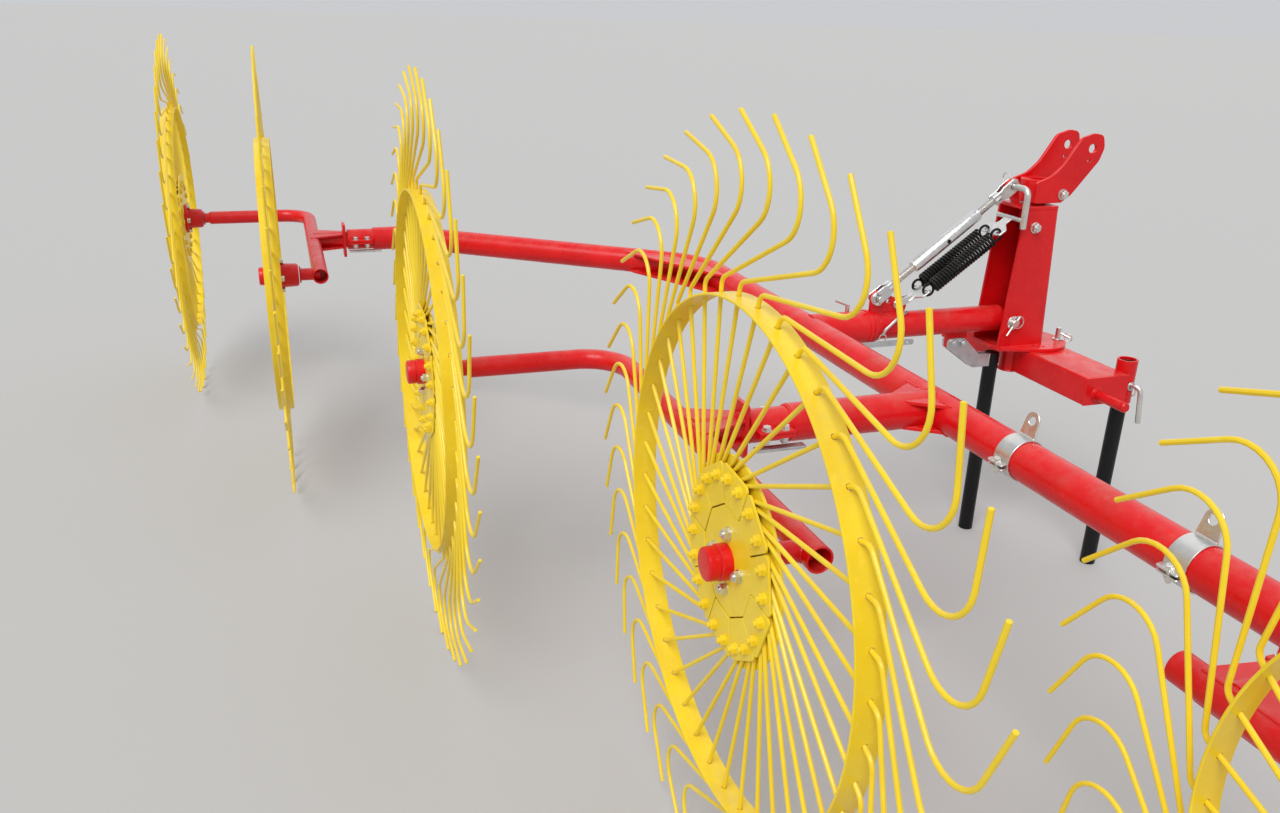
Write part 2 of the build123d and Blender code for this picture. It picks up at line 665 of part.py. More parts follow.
# Mast: round base plate, channel open to the back, turnbuckle lug, all turning on the post
mast_foot = MAST_GAP + MAST_BASE
with BuildPart() as mast:
    with BuildSketch(bar_plane.offset(MAST_GAP)):
        with Locations((0, -BASE_BACK)):
            RegularPolygon(BASE_RADIUS, BASE_SIDES)
        with Locations((0, -MAST_FOOT_BACK / 2)):
            Rectangle(MAST_WIDE, MAST_FOOT_BACK)
    extrude(amount=MAST_BASE)
    with BuildSketch(side_plane):
        with BuildLine():
            Polyline(
                (-MAST_FOOT_BACK, mast_foot), (0, mast_foot), (-MAST_TOP_FRONT, MAST_TOP),
                (-MAST_TOP_BACK, MAST_TOP), close=True
            )
        make_face()
    extrude(amount=MAST_WIDE / 2, both=True)
    with BuildSketch(side_plane):
        with BuildLine():
            Polyline(
                (-MAST_FOOT_BACK, mast_foot), (-MAST_PLATE, mast_foot),
                (-MAST_TOP_FRONT - MAST_PLATE, MAST_TOP - MAST_BASE),
                (-MAST_FOOT_BACK, MAST_TOP - MAST_BASE), close=True
            )
        make_face()
    extrude(amount=MAST_WIDE / 2 - MAST_PLATE, both=True, mode=Mode.SUBTRACT)
    with BuildSketch(bar_plane):
        with Locations(post_at):
            Circle(POST_RADIUS + POST_FIT)
    extrude(amount=COLLAR_TO, mode=Mode.SUBTRACT)
    with BuildSketch(eye_plane):
        with Locations((-TOP_EYE_BACK, TOP_EYE_UP)):
            RegularPolygon(FORK_RADIUS, EYE_SIDES)
        with Locations((-TOP_EYE_BACK + MAST_LUG_AHEAD, MAST_TOP - BAR_TOP_DOWN - MAST_LUG_ROOT / 2)):
            Rectangle(MAST_LUG_FOOT, MAST_LUG_ROOT)
        make_hull()
    extrude(amount=LUG_THICK / 2, both=True)
    with BuildSketch(eye_plane):
        with Locations((-TOP_EYE_BACK, TOP_EYE_UP)):
            Circle(EYE_PIN_RADIUS + ARM_PIN_FIT)
    extrude(amount=LUG_THICK, both=True, mode=Mode.SUBTRACT)
save(mast, "mast")

with BuildPart() as hinge_pin:
    with BuildSketch(eye_plane):
        Circle(ARM_PIN_RADIUS)
    extrude(amount=MAST_WIDE / 2 - MAST_PLATE, both=True)
save(hinge_pin, "arm_hinge_pin")

# Parking legs: the front one slides in its sleeve, the rear one folds back on two plates
with BuildPart() as front_leg:
    with BuildSketch(bar_plane.offset(-BAR_TOP_Z)):
        with Locations(sleeve_at):
            RegularPolygon(LEG_RADIUS, TUBE_SIDES, rotation=90)
    extrude(amount=BAR_TOP_Z + LEG_TOP_UP)
save(front_leg, "parking_leg_front")

# Corners of the rear leg's plate, from its bolt to the leg and back
plate_back = -LEG_HINGE_BACK - LEG_PLATE_END
leg_plate = (
    (plate_back, LEG_PLATE_HALF - LEG_HINGE_DOWN),
    (LEG_PLATE_SHOULDER - LEG_HINGE_BACK, LEG_PLATE_HALF - LEG_HINGE_DOWN),
    (LEG_PLATE_BEND - LEG_HINGE_BACK, -REAR_LEG_TOP),
    (REAR_LEG_BACK, -REAR_LEG_TOP),
    (REAR_LEG_BACK, -REAR_LEG_TOP - LEG_PLATE_TALL),
    (LEG_PLATE_BEND - LEG_PLATE_SLANT - LEG_HINGE_BACK, -REAR_LEG_TOP - LEG_PLATE_TALL),
    (plate_back, -LEG_PLATE_HALF - LEG_HINGE_DOWN),
)
with BuildPart() as rear_leg:
    with BuildSketch(Plane((ARM_X, ARM_PIN_Y - REAR_LEG_BACK, 0))):
        RegularPolygon(LEG_RADIUS, TUBE_SIDES)
    extrude(amount=AXLE_Z - REAR_LEG_TOP)
    for end in (-1, 1):
        with BuildSketch(eye_plane.offset(end * (LUG_THICK / 2 + LEG_PLATE_GAP))):
            with BuildLine():
                Polyline(*leg_plate, close=True)
            make_face()
        extrude(amount=end * LEG_PLATE)
    with BuildSketch(eye_plane):
        with Locations((-LEG_HINGE_BACK, -LEG_HINGE_DOWN)):
            Circle(LEG_BOLT_RADIUS)
    extrude(amount=LUG_THICK / 2 + 2 * LEG_PLATE_GAP, both=True)
save(rear_leg, "parking_leg_rear")

# Turnbuckle: barrel with the upper fork, and the lower rod with its fork
top_eye = eye_plane.origin + Vector(0, -TOP_EYE_BACK, TOP_EYE_UP)
low_eye = eye_plane.origin + Vector(0, -LOW_EYE_BACK, LOW_EYE_UP)
screw_way = (low_eye - top_eye).normalized()
screw_length = (low_eye - top_eye).length
screw_plane = Plane(top_eye, x_dir=(1, 0, 0), z_dir=screw_way)


def fork(centre, way, block_at):
    """Two cheeks on either side of a lug, joined by a block where the screw ends, and their pin."""
    cheek = Plane(centre, x_dir=way, z_dir=(1, 0, 0))
    reach = block_at + FORK_BLOCK_LONG + FORK_LIP
    with BuildPart() as piece:
        for end in (-1, 1):
            with BuildSketch(cheek.offset(end * FORK_INSIDE)):
                RegularPolygon(FORK_RADIUS, EYE_SIDES)
                with Locations((reach / 2, 0)):
                    Rectangle(reach, FORK_WIDE)
            extrude(amount=end * FORK_PLATE)
        with BuildSketch(Plane(centre + way * block_at, x_dir=(1, 0, 0), z_dir=way)):
            Rectangle(2 * FORK_INSIDE + FORK_PLATE, FORK_BLOCK_WIDE)
        extrude(amount=FORK_BLOCK_LONG)
        with BuildSketch(cheek):
            Circle(EYE_PIN_RADIUS)
        extrude(amount=FORK_INSIDE + FORK_PLATE / 2, both=True)
    return piece.part


top_fork = fork(top_eye, screw_way, TOP_BLOCK_AT)
low_fork = fork(low_eye, -screw_way, LOW_BLOCK_AT)
top_rod = TOP_BLOCK_AT + ROD_IN_BLOCK
low_rod_end = screw_length - LOW_BLOCK_AT - ROD_IN_BLOCK
with BuildPart() as barrel:
    with BuildSketch(screw_plane.offset(top_rod)):
        RegularPolygon(ROD_RADIUS, TUBE_SIDES)
    extrude(amount=BARREL_FROM - top_rod + ROD_IN_BLOCK)
    with BuildSketch(screw_plane.offset(BARREL_FROM)):
        RegularPolygon(BARREL_RADIUS, TUBE_SIDES)
    extrude(amount=BARREL_TO - BARREL_FROM)
    add(top_fork)
    with BuildSketch(screw_plane.offset(BARREL_TO)):
        Circle(ROD_RADIUS + ARM_PIN_FIT)
    extrude(amount=-BARREL_BORE, mode=Mode.SUBTRACT)
save(barrel, "turnbuckle_barrel")

with BuildPart() as low_rod:
    with BuildSketch(screw_plane.offset(low_rod_end)):
        Circle(ROD_RADIUS)
    extrude(amount=-(low_rod_end - BARREL_TO + ROD_IN_BARREL))
    add(low_fork)
save(low_rod, "turnbuckle_rod")

# Two springs side by side, hooked into a hanger on the mast and one on the arm's lug
spring_top = eye_plane.origin + Vector(0, -SPRING_TOP_BACK, SPRING_TOP_UP)
spring_low = eye_plane.origin + Vector(0, -SPRING_LOW_BACK, SPRING_LOW_UP)
spring_way = (spring_low - spring_top).normalized()
spring_length = (spring_low - spring_top).length
spring_plane = Plane(spring_top, x_dir=(1, 0, 0), z_dir=spring_way)
# (radius, sides, from, to) along the springs, on both of them
SPRING_STEPS = (
    (HOOK_ROD, HOOK_SIDES, -HANGER_LAP / 2, spring_length + HANGER_LAP / 2),
    (SPRING_RADIUS, TUBE_SIDES, SPRING_HOOK, spring_length - SPRING_HOOK),
)
# (from, to, width, thickness) along the springs, in the middle
HANGERS = (
    (-TOP_HANGER, HANGER_LAP, HANGER_WIDE, HANGER_THICK),
    (-TOP_HANGER, -TOP_HANGER + TOP_HANGER_BAR, MAST_WIDE - 2 * MAST_PLATE, TOP_HANGER_BAR),
    (spring_length - HANGER_LAP, spring_length + LOW_HANGER, HANGER_WIDE, HANGER_THICK),
)
with BuildPart() as springs:
    for radius, sides, start, end in SPRING_STEPS:
        with BuildSketch(spring_plane.offset(start)):
            with GridLocations(SPRING_APART, 0, 2, 1):
                RegularPolygon(radius, sides)
        extrude(amount=end - start)
    for start, end, width, thick in HANGERS:
        with BuildSketch(spring_plane.offset(start)):
            Rectangle(width, thick)
        extrude(amount=end - start)
    add(arm.part, mode=Mode.SUBTRACT)
save(springs, "lift_springs")
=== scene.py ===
# %% [markdown]
# This notebook dresses a tractor-mounted finger wheel rake. The rigid model comes first, as a fixed
# frame: its nodes say where each piece sits, in metres, with Z up and the tractor on the +Y side.
# Every piece below is a surface worked out with numpy and placed by those nodes, so that looks and
# mechanics stay together.

# %% Load the frame
import bpy
import bmesh
import numpy as np
from mathutils import Matrix, Vector
from mathutils.geometry import convex_hull_2d, tessellate_polygon


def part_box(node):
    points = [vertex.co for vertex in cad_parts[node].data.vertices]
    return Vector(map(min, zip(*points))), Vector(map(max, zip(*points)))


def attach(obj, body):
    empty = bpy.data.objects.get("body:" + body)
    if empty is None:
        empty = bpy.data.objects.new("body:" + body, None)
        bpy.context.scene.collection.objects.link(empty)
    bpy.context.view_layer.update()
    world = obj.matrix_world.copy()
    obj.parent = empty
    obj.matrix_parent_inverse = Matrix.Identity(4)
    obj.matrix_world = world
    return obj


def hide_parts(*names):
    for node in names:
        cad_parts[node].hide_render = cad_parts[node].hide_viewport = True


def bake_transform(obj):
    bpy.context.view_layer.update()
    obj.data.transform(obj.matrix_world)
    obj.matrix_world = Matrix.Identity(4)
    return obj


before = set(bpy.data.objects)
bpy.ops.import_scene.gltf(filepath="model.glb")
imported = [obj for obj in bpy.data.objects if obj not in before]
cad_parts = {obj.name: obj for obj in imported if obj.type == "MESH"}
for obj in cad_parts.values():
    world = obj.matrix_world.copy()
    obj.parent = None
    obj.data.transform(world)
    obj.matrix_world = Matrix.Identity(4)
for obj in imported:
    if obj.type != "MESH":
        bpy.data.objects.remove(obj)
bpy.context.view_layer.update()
X, Y, Z = np.eye(3)
SIDES = (-1, 1)


def middle(node):
    """Middle of a node's box at rest: halfway between its lowest and highest corners."""
    low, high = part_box(node)
    return (np.array(low) + np.array(high)) / 2


# %% [markdown]
# The camera stands beside the far side of the row and looks along it, a little down. Its place was
# worked out from the rings of holes and finger tips of the wheels. The light is plain: two broad soft
# suns and a pale world, so that a colour renders about as it is written and the floor is as bright
# far away as near.

# %% Camera
CAMERA_AT = (2.403, -0.904, 1.518)
CAMERA_AZIMUTH = 70.8
CAMERA_DOWN = 20.7
CAMERA_ROLL = 1.7
CAMERA_LENS = 29.17
camera_data = bpy.data.cameras.new("camera")
camera_data.lens = CAMERA_LENS
camera = bpy.data.objects.new("camera", camera_data)
bpy.context.scene.collection.objects.link(camera)
bpy.context.scene.camera = camera
turn, down, roll = np.radians([CAMERA_AZIMUTH, CAMERA_DOWN, CAMERA_ROLL])
ahead = np.array([-np.sin(turn) * np.cos(down), np.cos(turn) * np.cos(down), -np.sin(down)])
level = np.array([np.cos(turn), np.sin(turn), 0])
upright = np.cross(level, ahead)
right = np.cos(roll) * level + np.sin(roll) * upright
upward = -np.sin(roll) * level + np.cos(roll) * upright
camera_axes = Matrix(np.array([right, upward, -ahead]).T.tolist())
camera.matrix_world = Matrix.Translation(CAMERA_AT) @ camera_axes.to_4x4()
print("camera looks along", ahead.round(3))

# %% Floor, lamps and world
FLOOR_HALF = 250
FLOOR_COLOUR = (0.47, 0.465, 0.455, 1)
FLOOR_ROUGHNESS = 0.9
WORLD_COLOUR = (0.96, 0.97, 1, 1)
WORLD_STRENGTH = 0.62
# (name, comes from, angular size in degrees, strength)
LAMPS = (("key", (3.4, -3.2, 5.6), 35, 2.1), ("fill", (-4, 3.5, 5), 80, 0.5))
floor_corners = [(-FLOOR_HALF, -FLOOR_HALF, 0), (FLOOR_HALF, -FLOOR_HALF, 0),
                 (FLOOR_HALF, FLOOR_HALF, 0), (-FLOOR_HALF, FLOOR_HALF, 0)]
floor_mesh = bpy.data.meshes.new("floor")
floor_mesh.from_pydata(floor_corners, [], [(0, 1, 2, 3)])
floor = bpy.data.objects.new("floor", floor_mesh)
bpy.context.scene.collection.objects.link(floor)
floor_look = bpy.data.materials.new("pale_floor")
floor_look.use_nodes = True
floor_shader = floor_look.node_tree.nodes["Principled BSDF"]
floor_shader.inputs["Base Color"].default_value = FLOOR_COLOUR
floor_shader.inputs["Roughness"].default_value = FLOOR_ROUGHNESS
floor_mesh.materials.append(floor_look)
world = bpy.data.worlds.new("world")
world.use_nodes = True
world.node_tree.nodes["Background"].inputs["Color"].default_value = WORLD_COLOUR
world.node_tree.nodes["Background"].inputs["Strength"].default_value = WORLD_STRENGTH
bpy.context.scene.world = world
for name, place, spread_angle, power in LAMPS:
    lamp_data = bpy.data.lights.new(name, "SUN")
    lamp_data.angle = np.radians(spread_angle)
    lamp_data.energy = power
    lamp = bpy.data.objects.new(name, lamp_data)
    lamp.location = place
    lamp.rotation_euler = (-Vector(place)).to_track_quat("-Z", "Y").to_euler()
    bpy.context.scene.collection.objects.link(lamp)
bpy.context.scene.view_settings.view_transform = "Standard"
print("lamps", [name for name, *_ in LAMPS])

# %% [markdown]
# A few helpers make every piece. A skin joins rings of points into faces. A bar carries a circle
# along a path that stays in one plane. A turned part goes round an axis. A plate is an outline with
# holes and thin chamfers, which catch the light as a real sheared edge does.

# %% Skins and paths
FULL = 2 * np.pi
NEARLY_STRAIGHT = 1e-4


def unit(v):
    """Vector or rows of vectors divided by their own lengths."""
    v = np.asarray(v, float)
    return v / np.linalg.norm(v, axis=-1, keepdims=True)


def skin(rings, cap_start=True, cap_end=True):
    """Face (i, j) joins points j and j+1 of ring i to the same two of ring i+1; each ring closes."""
    rows, cols = rings.shape[:2]
    index = np.arange(rows * cols).reshape(rows, cols)
    after = np.roll(index, -1, axis=1)
    faces = np.stack([index[:-1], after[:-1], after[1:], index[1:]], -1).reshape(-1, 4).tolist()
    if cap_start:
        faces.append(index[0][::-1].tolist())
    if cap_end:
        faces.append(index[-1].tolist())
    return rings.reshape(-1, 3), faces


def fillet(points, radii, step=12):
    """Path with its corners rounded, in steps of so many degrees. On each arc a point is
    start + r (sin t * before + (1 - cos t) * inward)."""
    points = np.asarray(points, float)
    result = [points[:1]]
    for before, here, after, radius in zip(points, points[1:], points[2:], radii):
        heading = unit(here - before)
        leaving = unit(after - here)
        turn = np.arccos(np.clip(heading @ leaving, -1, 1))
        if radius == 0 or turn < NEARLY_STRAIGHT:
            result.append(here[None])
            continue
        inward = unit(leaving - heading * np.cos(turn))
        count = max(2, int(np.ceil(np.degrees(turn) / step)) + 1)
        t = np.linspace(0, turn, count)[:, None]
        start = here - heading * radius * np.tan(turn / 2)
        result.append(start + radius * (np.sin(t) * heading + (1 - np.cos(t)) * inward))
    result.append(points[-1:])
    return np.concatenate(result)


def headings(path):
    """Direction at each point of a path: the sum of the directions of the runs before and after."""
    runs = unit(np.diff(path, axis=0))
    return unit(np.concatenate([runs[:1], runs]) + np.concatenate([runs, runs[-1:]]))


def round_angles(sides):
    """So many equal angles round a circle, from 0."""
    return np.linspace(0, FULL, sides, endpoint=False)


def rings_at(centres, ways, normal, radii, sides, phase=0):
    """Circle i is centre i + radius i * (cos a * normal + sin a * (way i x normal))."""
    a = round_angles(sides)[None, :, None] + phase
    side = np.cross(ways, normal)
    radii = np.broadcast_to(np.asarray(radii, float), (len(centres),))[:, None, None]
    return centres[:, None] + radii * (np.cos(a) * normal + np.sin(a) * side[:, None])


# %% Bars, turned parts and rings
TIP = 1e-5
NEEDLE = 1e-6
MOSTLY_X = 0.8


def bar_end(radius, inner, lip, mouth):
    """Rows (distance in from the end, radius) of a bar's end: closed, or open with a bore as deep
    as its mouth."""
    edge = [(0, radius - lip), (lip, radius)]
    if mouth:
        return [(mouth, TIP), (mouth, inner), (lip, inner), (0, inner + lip), *edge]
    return [(0, TIP), *edge]


def bar(path, radius, normal, sides=12, lip=0.0006, mouth=(0, 0), wall=0.004):
    """Round bar or tube along a path in the plane across normal. Each end has a chamfer of one lip;
    an end with a mouth is open, its bore one wall narrower than the bar."""
    path = np.asarray(path, float)
    ways = headings(path)
    first = np.array(bar_end(radius, radius - wall, lip, mouth[0]))
    last = np.array(bar_end(radius, radius - wall, lip, mouth[1]))[::-1]
    centres = np.concatenate([path[0] + first[:, :1] * ways[0], path[1:-1],
                              path[-1] - last[:, :1] * ways[-1]])
    ways = np.concatenate([np.tile(ways[:1], (len(first), 1)), ways[1:-1],
                           np.tile(ways[-1:], (len(last), 1))])
    radii = np.concatenate([first[:, 1], np.full(len(path) - 2, radius), last[:, 1]])
    return skin(rings_at(centres, ways, np.asarray(normal, float), radii, sides))


def across(way):
    """Some unit vector square to a direction."""
    helper = X if abs(way[0]) < MOSTLY_X else Y
    return unit(np.cross(way, helper))


def turned(profile, centre, way, sides=48, phase=0):
    """Turned part: profile rows are (radius, along); each goes once round the axis through centre."""
    profile = np.asarray(profile, float)
    way = unit(way)
    centres = np.asarray(centre, float) + profile[:, 1:] * way
    radii = np.maximum(profile[:, 0], NEEDLE)
    return skin(rings_at(centres, np.tile(way, (len(profile), 1)), across(way), radii, sides, phase))


def turned_ring(profile, centre, way, sides=48):
    """As turned, for a profile that closes on itself, such as a collar's section."""
    profile = np.asarray(profile, float)
    profile = np.concatenate([profile, profile[:1]])
    way = unit(way)
    centres = np.asarray(centre, float) + profile[:, 1:] * way
    rings = rings_at(centres, np.tile(way, (len(profile), 1)), across(way), profile[:, 0], sides)
    return skin(rings, False, False)


def collar(inner, outer, start, end, centre, way, sides=48, lip=0.0008):
    """Ring from inner to outer radius and from start to end along its axis, with a chamfer of one lip."""
    profile = [(inner, start + lip), (inner + lip, start), (outer - lip, start), (outer, start + lip),
               (outer, end - lip), (outer - lip, end), (inner + lip, end), (inner, end - lip)]
    return turned_ring(profile, centre, way, sides)


def drum(radius, start, end, centre, way, sides=48, lip=0.0008):
    """Solid round piece from start to end along its axis, with a chamfer of one lip at each end."""
    profile = [(0, start), (radius - lip, start), (radius, start + lip), (radius, end - lip),
               (radius - lip, end), (0, end)]
    return turned(profile, centre, way, sides)


def rod(start, end, radius, sides=20, lip=0.0008):
    """Drum between two points."""
    way = np.asarray(end, float) - start
    return drum(radius, 0, np.linalg.norm(way), start, way, sides, lip)


# %% Outlines and plates
SHARPEST_MITRE = 0.3


def disk(x, y, radius, sides=24):
    """Points round a circle."""
    a = round_angles(sides)
    return np.stack([x + radius * np.cos(a), y + radius * np.sin(a)], -1)


def hull(circles, sides=32):
    """Outline round circles (x, y, radius), as a string pulled tight round them would lie."""
    points = np.concatenate([disk(x, y, radius, sides) for x, y, radius in circles])
    return points[convex_hull_2d(points.tolist())]


def round_outline(points, radii, step=15):
    """Closed outline with rounded corners."""
    points = [np.asarray(p, float) for p in points]
    start = (points[-1] + points[0]) / 2
    return fillet([start, *points, start], radii, step)[:-1]


def box_outline(low, high, radius=0.002):
    """Rectangle between two corners with rounded corners."""
    return round_outline([low, (high[0], low[1]), high, (low[0], high[1])], [radius] * 4)


def rounded(rows):
    """Closed outline from rows (a, b, corner's radius)."""
    rows = np.asarray(rows, float)
    return round_outline(rows[:, :2], rows[:, 2])


def inset(outline, amount):
    """Outline moved to its left by amount, mitred at its corners."""
    runs = unit(np.roll(outline, -1, axis=0) - outline)
    left = np.stack([-runs[:, 1], runs[:, 0]], -1)
    before = np.roll(left, 1, axis=0)
    share = 1 + (left * before).sum(-1, keepdims=True)
    return outline + (left + before) * amount / np.maximum(share, SHARPEST_MITRE)


def area(outline):
    """Signed area: half the sum of the cross products of neighbours."""
    x, y = outline.T
    return (x * np.roll(y, -1) - np.roll(x, -1) * y).sum() / 2


def join(shapes):
    """One shape from several: points in one row, and each shape's faces counted from its own start."""
    points = []
    faces = []
    count = 0
    for some, which in shapes:
        points.append(some)
        faces += [[i + count for i in face] for face in which]
        count += len(some)
    return np.concatenate(points), faces


def moved(shape, shift):
    """The same shape a step further."""
    return shape[0] + np.asarray(shift, float), shape[1]


def plate(outline, holes, origin, u, v, thick, edge=0.0008):
    """Plate whose point (a, b) is origin + a u + b v; it is thick along u x v, with a chamfer of
    one edge."""
    u = unit(u)
    v = unit(v)
    normal = np.cross(u, v)
    origin = np.asarray(origin, float)
    loops = [np.asarray(outline, float), *[np.asarray(h, float) for h in holes]]
    loops = [p if (area(p) > 0) == (i == 0) else p[::-1] for i, p in enumerate(loops)]
    levels = np.array([0, edge, thick - edge, thick])[:, None, None]
    shapes = []
    face_loops = []
    for p in loops:
        small = inset(p, edge)
        face_loops.append(small)
        rows = np.stack([small, p, p, small])
        shapes.append(skin(origin + rows[..., :1] * u + rows[..., 1:] * v + levels * normal, False, False))
    corners = np.concatenate(face_loops)
    flat = [[Vector((a, b, 0)) for a, b in p] for p in face_loops]
    triangles = [list(t) for t in tessellate_polygon(flat)]
    for high in (0, thick):
        shapes.append((origin + corners[:, :1] * u + corners[:, 1:] * v + high * normal, triangles))
    return join(shapes)


def standing(outline, x, thick, at, holes=(), edge=0.0008):
    """Plate across X: its outline is (y, z) from a point, and its middle is at x."""
    return plate(outline, holes, np.asarray(at) + [x - thick / 2, 0, 0], Y, Z, thick, edge)


def lying(outline, z, thick, at, holes=(), edge=0.0008):
    """Level plate: its outline is (x, y) from a point, and its underside is at z."""
    return plate(outline, holes, np.asarray(at) + [0, 0, z], X, Y, thick, edge)


# %% A piece: welded, faces outward, riding on its body
SHARP = np.radians(32)
MERGE = 2e-6
made = []


def piece(name, shapes, look, body, slot, stands_for=()):
    """Object at the origin from closed shapes; each is merged and turned outward by itself. The body
    is one name, or (first body, second body, start, end) for a piece that spans two; such a piece is left
    where it is made, attached to neither."""
    mesh = bpy.data.meshes.new(name)
    whole = bmesh.new()
    for points, faces in shapes:
        one = bmesh.new()
        spots = [one.verts.new(p) for p in points.tolist()]
        for face in faces:
            one.faces.new([spots[i] for i in face])
        bmesh.ops.remove_doubles(one, verts=one.verts, dist=MERGE)
        bmesh.ops.dissolve_degenerate(one, edges=one.edges, dist=MERGE)
        bmesh.ops.recalc_face_normals(one, faces=one.faces)
        step = bpy.data.meshes.new("step")
        one.to_mesh(step)
        whole.from_mesh(step)
        bpy.data.meshes.remove(step)
        one.free()
    whole.to_mesh(mesh)
    whole.free()
    mesh.polygons.foreach_set("use_smooth", np.ones(len(mesh.polygons), bool))
    mesh.set_sharp_from_angle(angle=SHARP)
    mesh.materials.append(look)
    thing = bpy.data.objects.new(name, mesh)
    bpy.context.scene.collection.objects.link(thing)
    if isinstance(body, str):
        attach(thing, body)
    else:
        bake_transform(thing)
    if stands_for:
        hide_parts(*stands_for)
    triangles = sum(len(p.vertices) - 2 for p in mesh.polygons)
    made.append((name, triangles))
    print(name, "faces", len(mesh.polygons), "triangles", triangles)


# %% [markdown]
# Painted and plated steel. The paint is sprayed and baked: a glossy coat over an even colour, with a
# faint unevenness, a little dust on what faces up, and a thin lighter line where it pulls back from
# an edge. Zinc is a bright metal with a cloudy, slightly blue and yellow bloom.

# %% Nodes for finishes


def finish_nodes(name):
    """New material with its shader, and Object coordinates for its patterns."""
    look = bpy.data.materials.new(name)
    look.use_nodes = True
    tree = look.node_tree
    shader = tree.nodes["Principled BSDF"]
    place = tree.nodes.new("ShaderNodeTexCoord").outputs["Object"]
    return look, tree, shader, place


def noise(tree, place, scale, detail=4, rough=0.55):
    """Noise pattern of so many cells to the metre."""
    node = tree.nodes.new("ShaderNodeTexNoise")
    node.inputs["Scale"].default_value = scale
    node.inputs["Detail"].default_value = detail
    node.inputs["Roughness"].default_value = rough
    tree.links.new(place, node.inputs["Vector"])
    return node.outputs["Fac"]


def spread(tree, value, low, high, start=0.35, end=0.65):
    """Value stretched from start..end to low..high."""
    node = tree.nodes.new("ShaderNodeMapRange")
    for key, number in (("From Min", start), ("From Max", end), ("To Min", low), ("To Max", high)):
        node.inputs[key].default_value = number
    tree.links.new(value, node.inputs["Value"])
    return node.outputs["Result"]


def blend_colours(tree, share, first, second):
    """Colour between two, by share; each is a colour or another node's output."""
    node = tree.nodes.new("ShaderNodeMix")
    node.data_type = "RGBA"
    tree.links.new(share, node.inputs["Factor"])
    for socket, colour in (("A", first), ("B", second)):
        target = [s for s in node.inputs if s.name == socket and s.type == "RGBA"][0]
        if isinstance(colour, tuple):
            target.default_value = (*colour, 1)
        else:
            tree.links.new(colour, target)
    return [s for s in node.outputs if s.type == "RGBA"][0]


def times(tree, first, second):
    """Product of two values."""
    node = tree.nodes.new("ShaderNodeMath")
    node.operation = "MULTIPLY"
    tree.links.new(first, node.inputs[0])
    tree.links.new(second, node.inputs[1])
    return node.outputs[0]


def bumped(tree, shader, height, strength, distance):
    """Bump from a height pattern."""
    node = tree.nodes.new("ShaderNodeBump")
    node.inputs["Strength"].default_value = strength
    node.inputs["Distance"].default_value = distance
    tree.links.new(height, node.inputs["Height"])
    tree.links.new(node.outputs["Normal"], shader.inputs["Normal"])


def facing_up(tree):
    """1 where the surface faces up, 0 where it is upright or faces down."""
    geometry = tree.nodes.new("ShaderNodeNewGeometry")
    split = tree.nodes.new("ShaderNodeSeparateXYZ")
    tree.links.new(geometry.outputs["Normal"], split.inputs["Vector"])
    return spread(tree, split.outputs["Z"], 0, 1, 0.2, 1)


def worn_edge(tree, width):
    """1 where a rounded normal turns away from the face's own, within a width of an edge."""
    bevel = tree.nodes.new("ShaderNodeBevel")
    bevel.samples = 3
    bevel.inputs["Radius"].default_value = width
    geometry = tree.nodes.new("ShaderNodeNewGeometry")
    dot = tree.nodes.new("ShaderNodeVectorMath")
    dot.operation = "DOT_PRODUCT"
    tree.links.new(bevel.outputs["Normal"], dot.inputs[0])
    tree.links.new(geometry.outputs["Normal"], dot.inputs[1])
    return spread(tree, dot.outputs["Value"], 1, 0, 0.75, 0.98)


# %% Paint
DUST = (0.38, 0.31, 0.22)
COAT_ROUGHNESS = 0.12
PAINT_EDGE = 0.0018
PAINT_UNEVEN = (-0.06, 0.1)
PEEL_STRENGTH = 0.12
PEEL_HEIGHT = 0.0006
# Cells to the metre of each pattern
CLOUDS = 7
SPECKS = 60
CHIPS = 45
GRIME = 16
SMEARS = 24
PEEL = 420


def paint(name, colour, dark, pale, gloss, coat=0.2, shine=0.4):
    """Sprayed paint: cloudy colour, dust on top, uneven gloss, and a bump as fine as orange peel."""
    look, tree, shader, place = finish_nodes(name)
    cloud = spread(tree, noise(tree, place, CLOUDS), 0, 1)
    colours = blend_colours(tree, cloud, dark, colour)
    speck = spread(tree, noise(tree, place, SPECKS, 6, 0.7), 0, 0.5, 0.55, 0.75)
    colours = blend_colours(tree, speck, colours, pale)
    chipped = spread(tree, noise(tree, place, CHIPS, 5, 0.65), 0, 0.55)
    colours = blend_colours(tree, times(tree, worn_edge(tree, PAINT_EDGE), chipped), colours, pale)
    dusty = spread(tree, noise(tree, place, GRIME, 8, 0.7), 0, 0.22, 0.45, 0.7)
    colours = blend_colours(tree, times(tree, dusty, facing_up(tree)), colours, DUST)
    tree.links.new(colours, shader.inputs["Base Color"])
    smoother, rougher = PAINT_UNEVEN
    smear = spread(tree, noise(tree, place, SMEARS, 6), gloss + smoother, gloss + rougher)
    tree.links.new(smear, shader.inputs["Roughness"])
    shader.inputs["Specular IOR Level"].default_value = shine
    shader.inputs["Coat Weight"].default_value = coat
    shader.inputs["Coat Roughness"].default_value = COAT_ROUGHNESS
    bumped(tree, shader, noise(tree, place, PEEL, 2), PEEL_STRENGTH, PEEL_HEIGHT)
    return look


red = paint("red_paint", (0.72, 0.005, 0.008), (0.62, 0.003, 0.006), (0.78, 0.035, 0.035),
            gloss=0.3, coat=0.12, shine=0.3)
yellow = paint("yellow_paint", (0.9, 0.66, 0.02), (0.83, 0.58, 0.012), (0.95, 0.76, 0.08),
               gloss=0.36, coat=0.15)
# Black is the real black paint of the legs and springs, and also the painted shade in the turnbuckle
# barrel's cross hole.
black = paint("black_paint", (0.008, 0.008, 0.009), (0.005, 0.005, 0.006), (0.02, 0.02, 0.02),
              gloss=0.36, coat=0.05, shine=0.2)
print("paints", red.name, yellow.name, black.name)

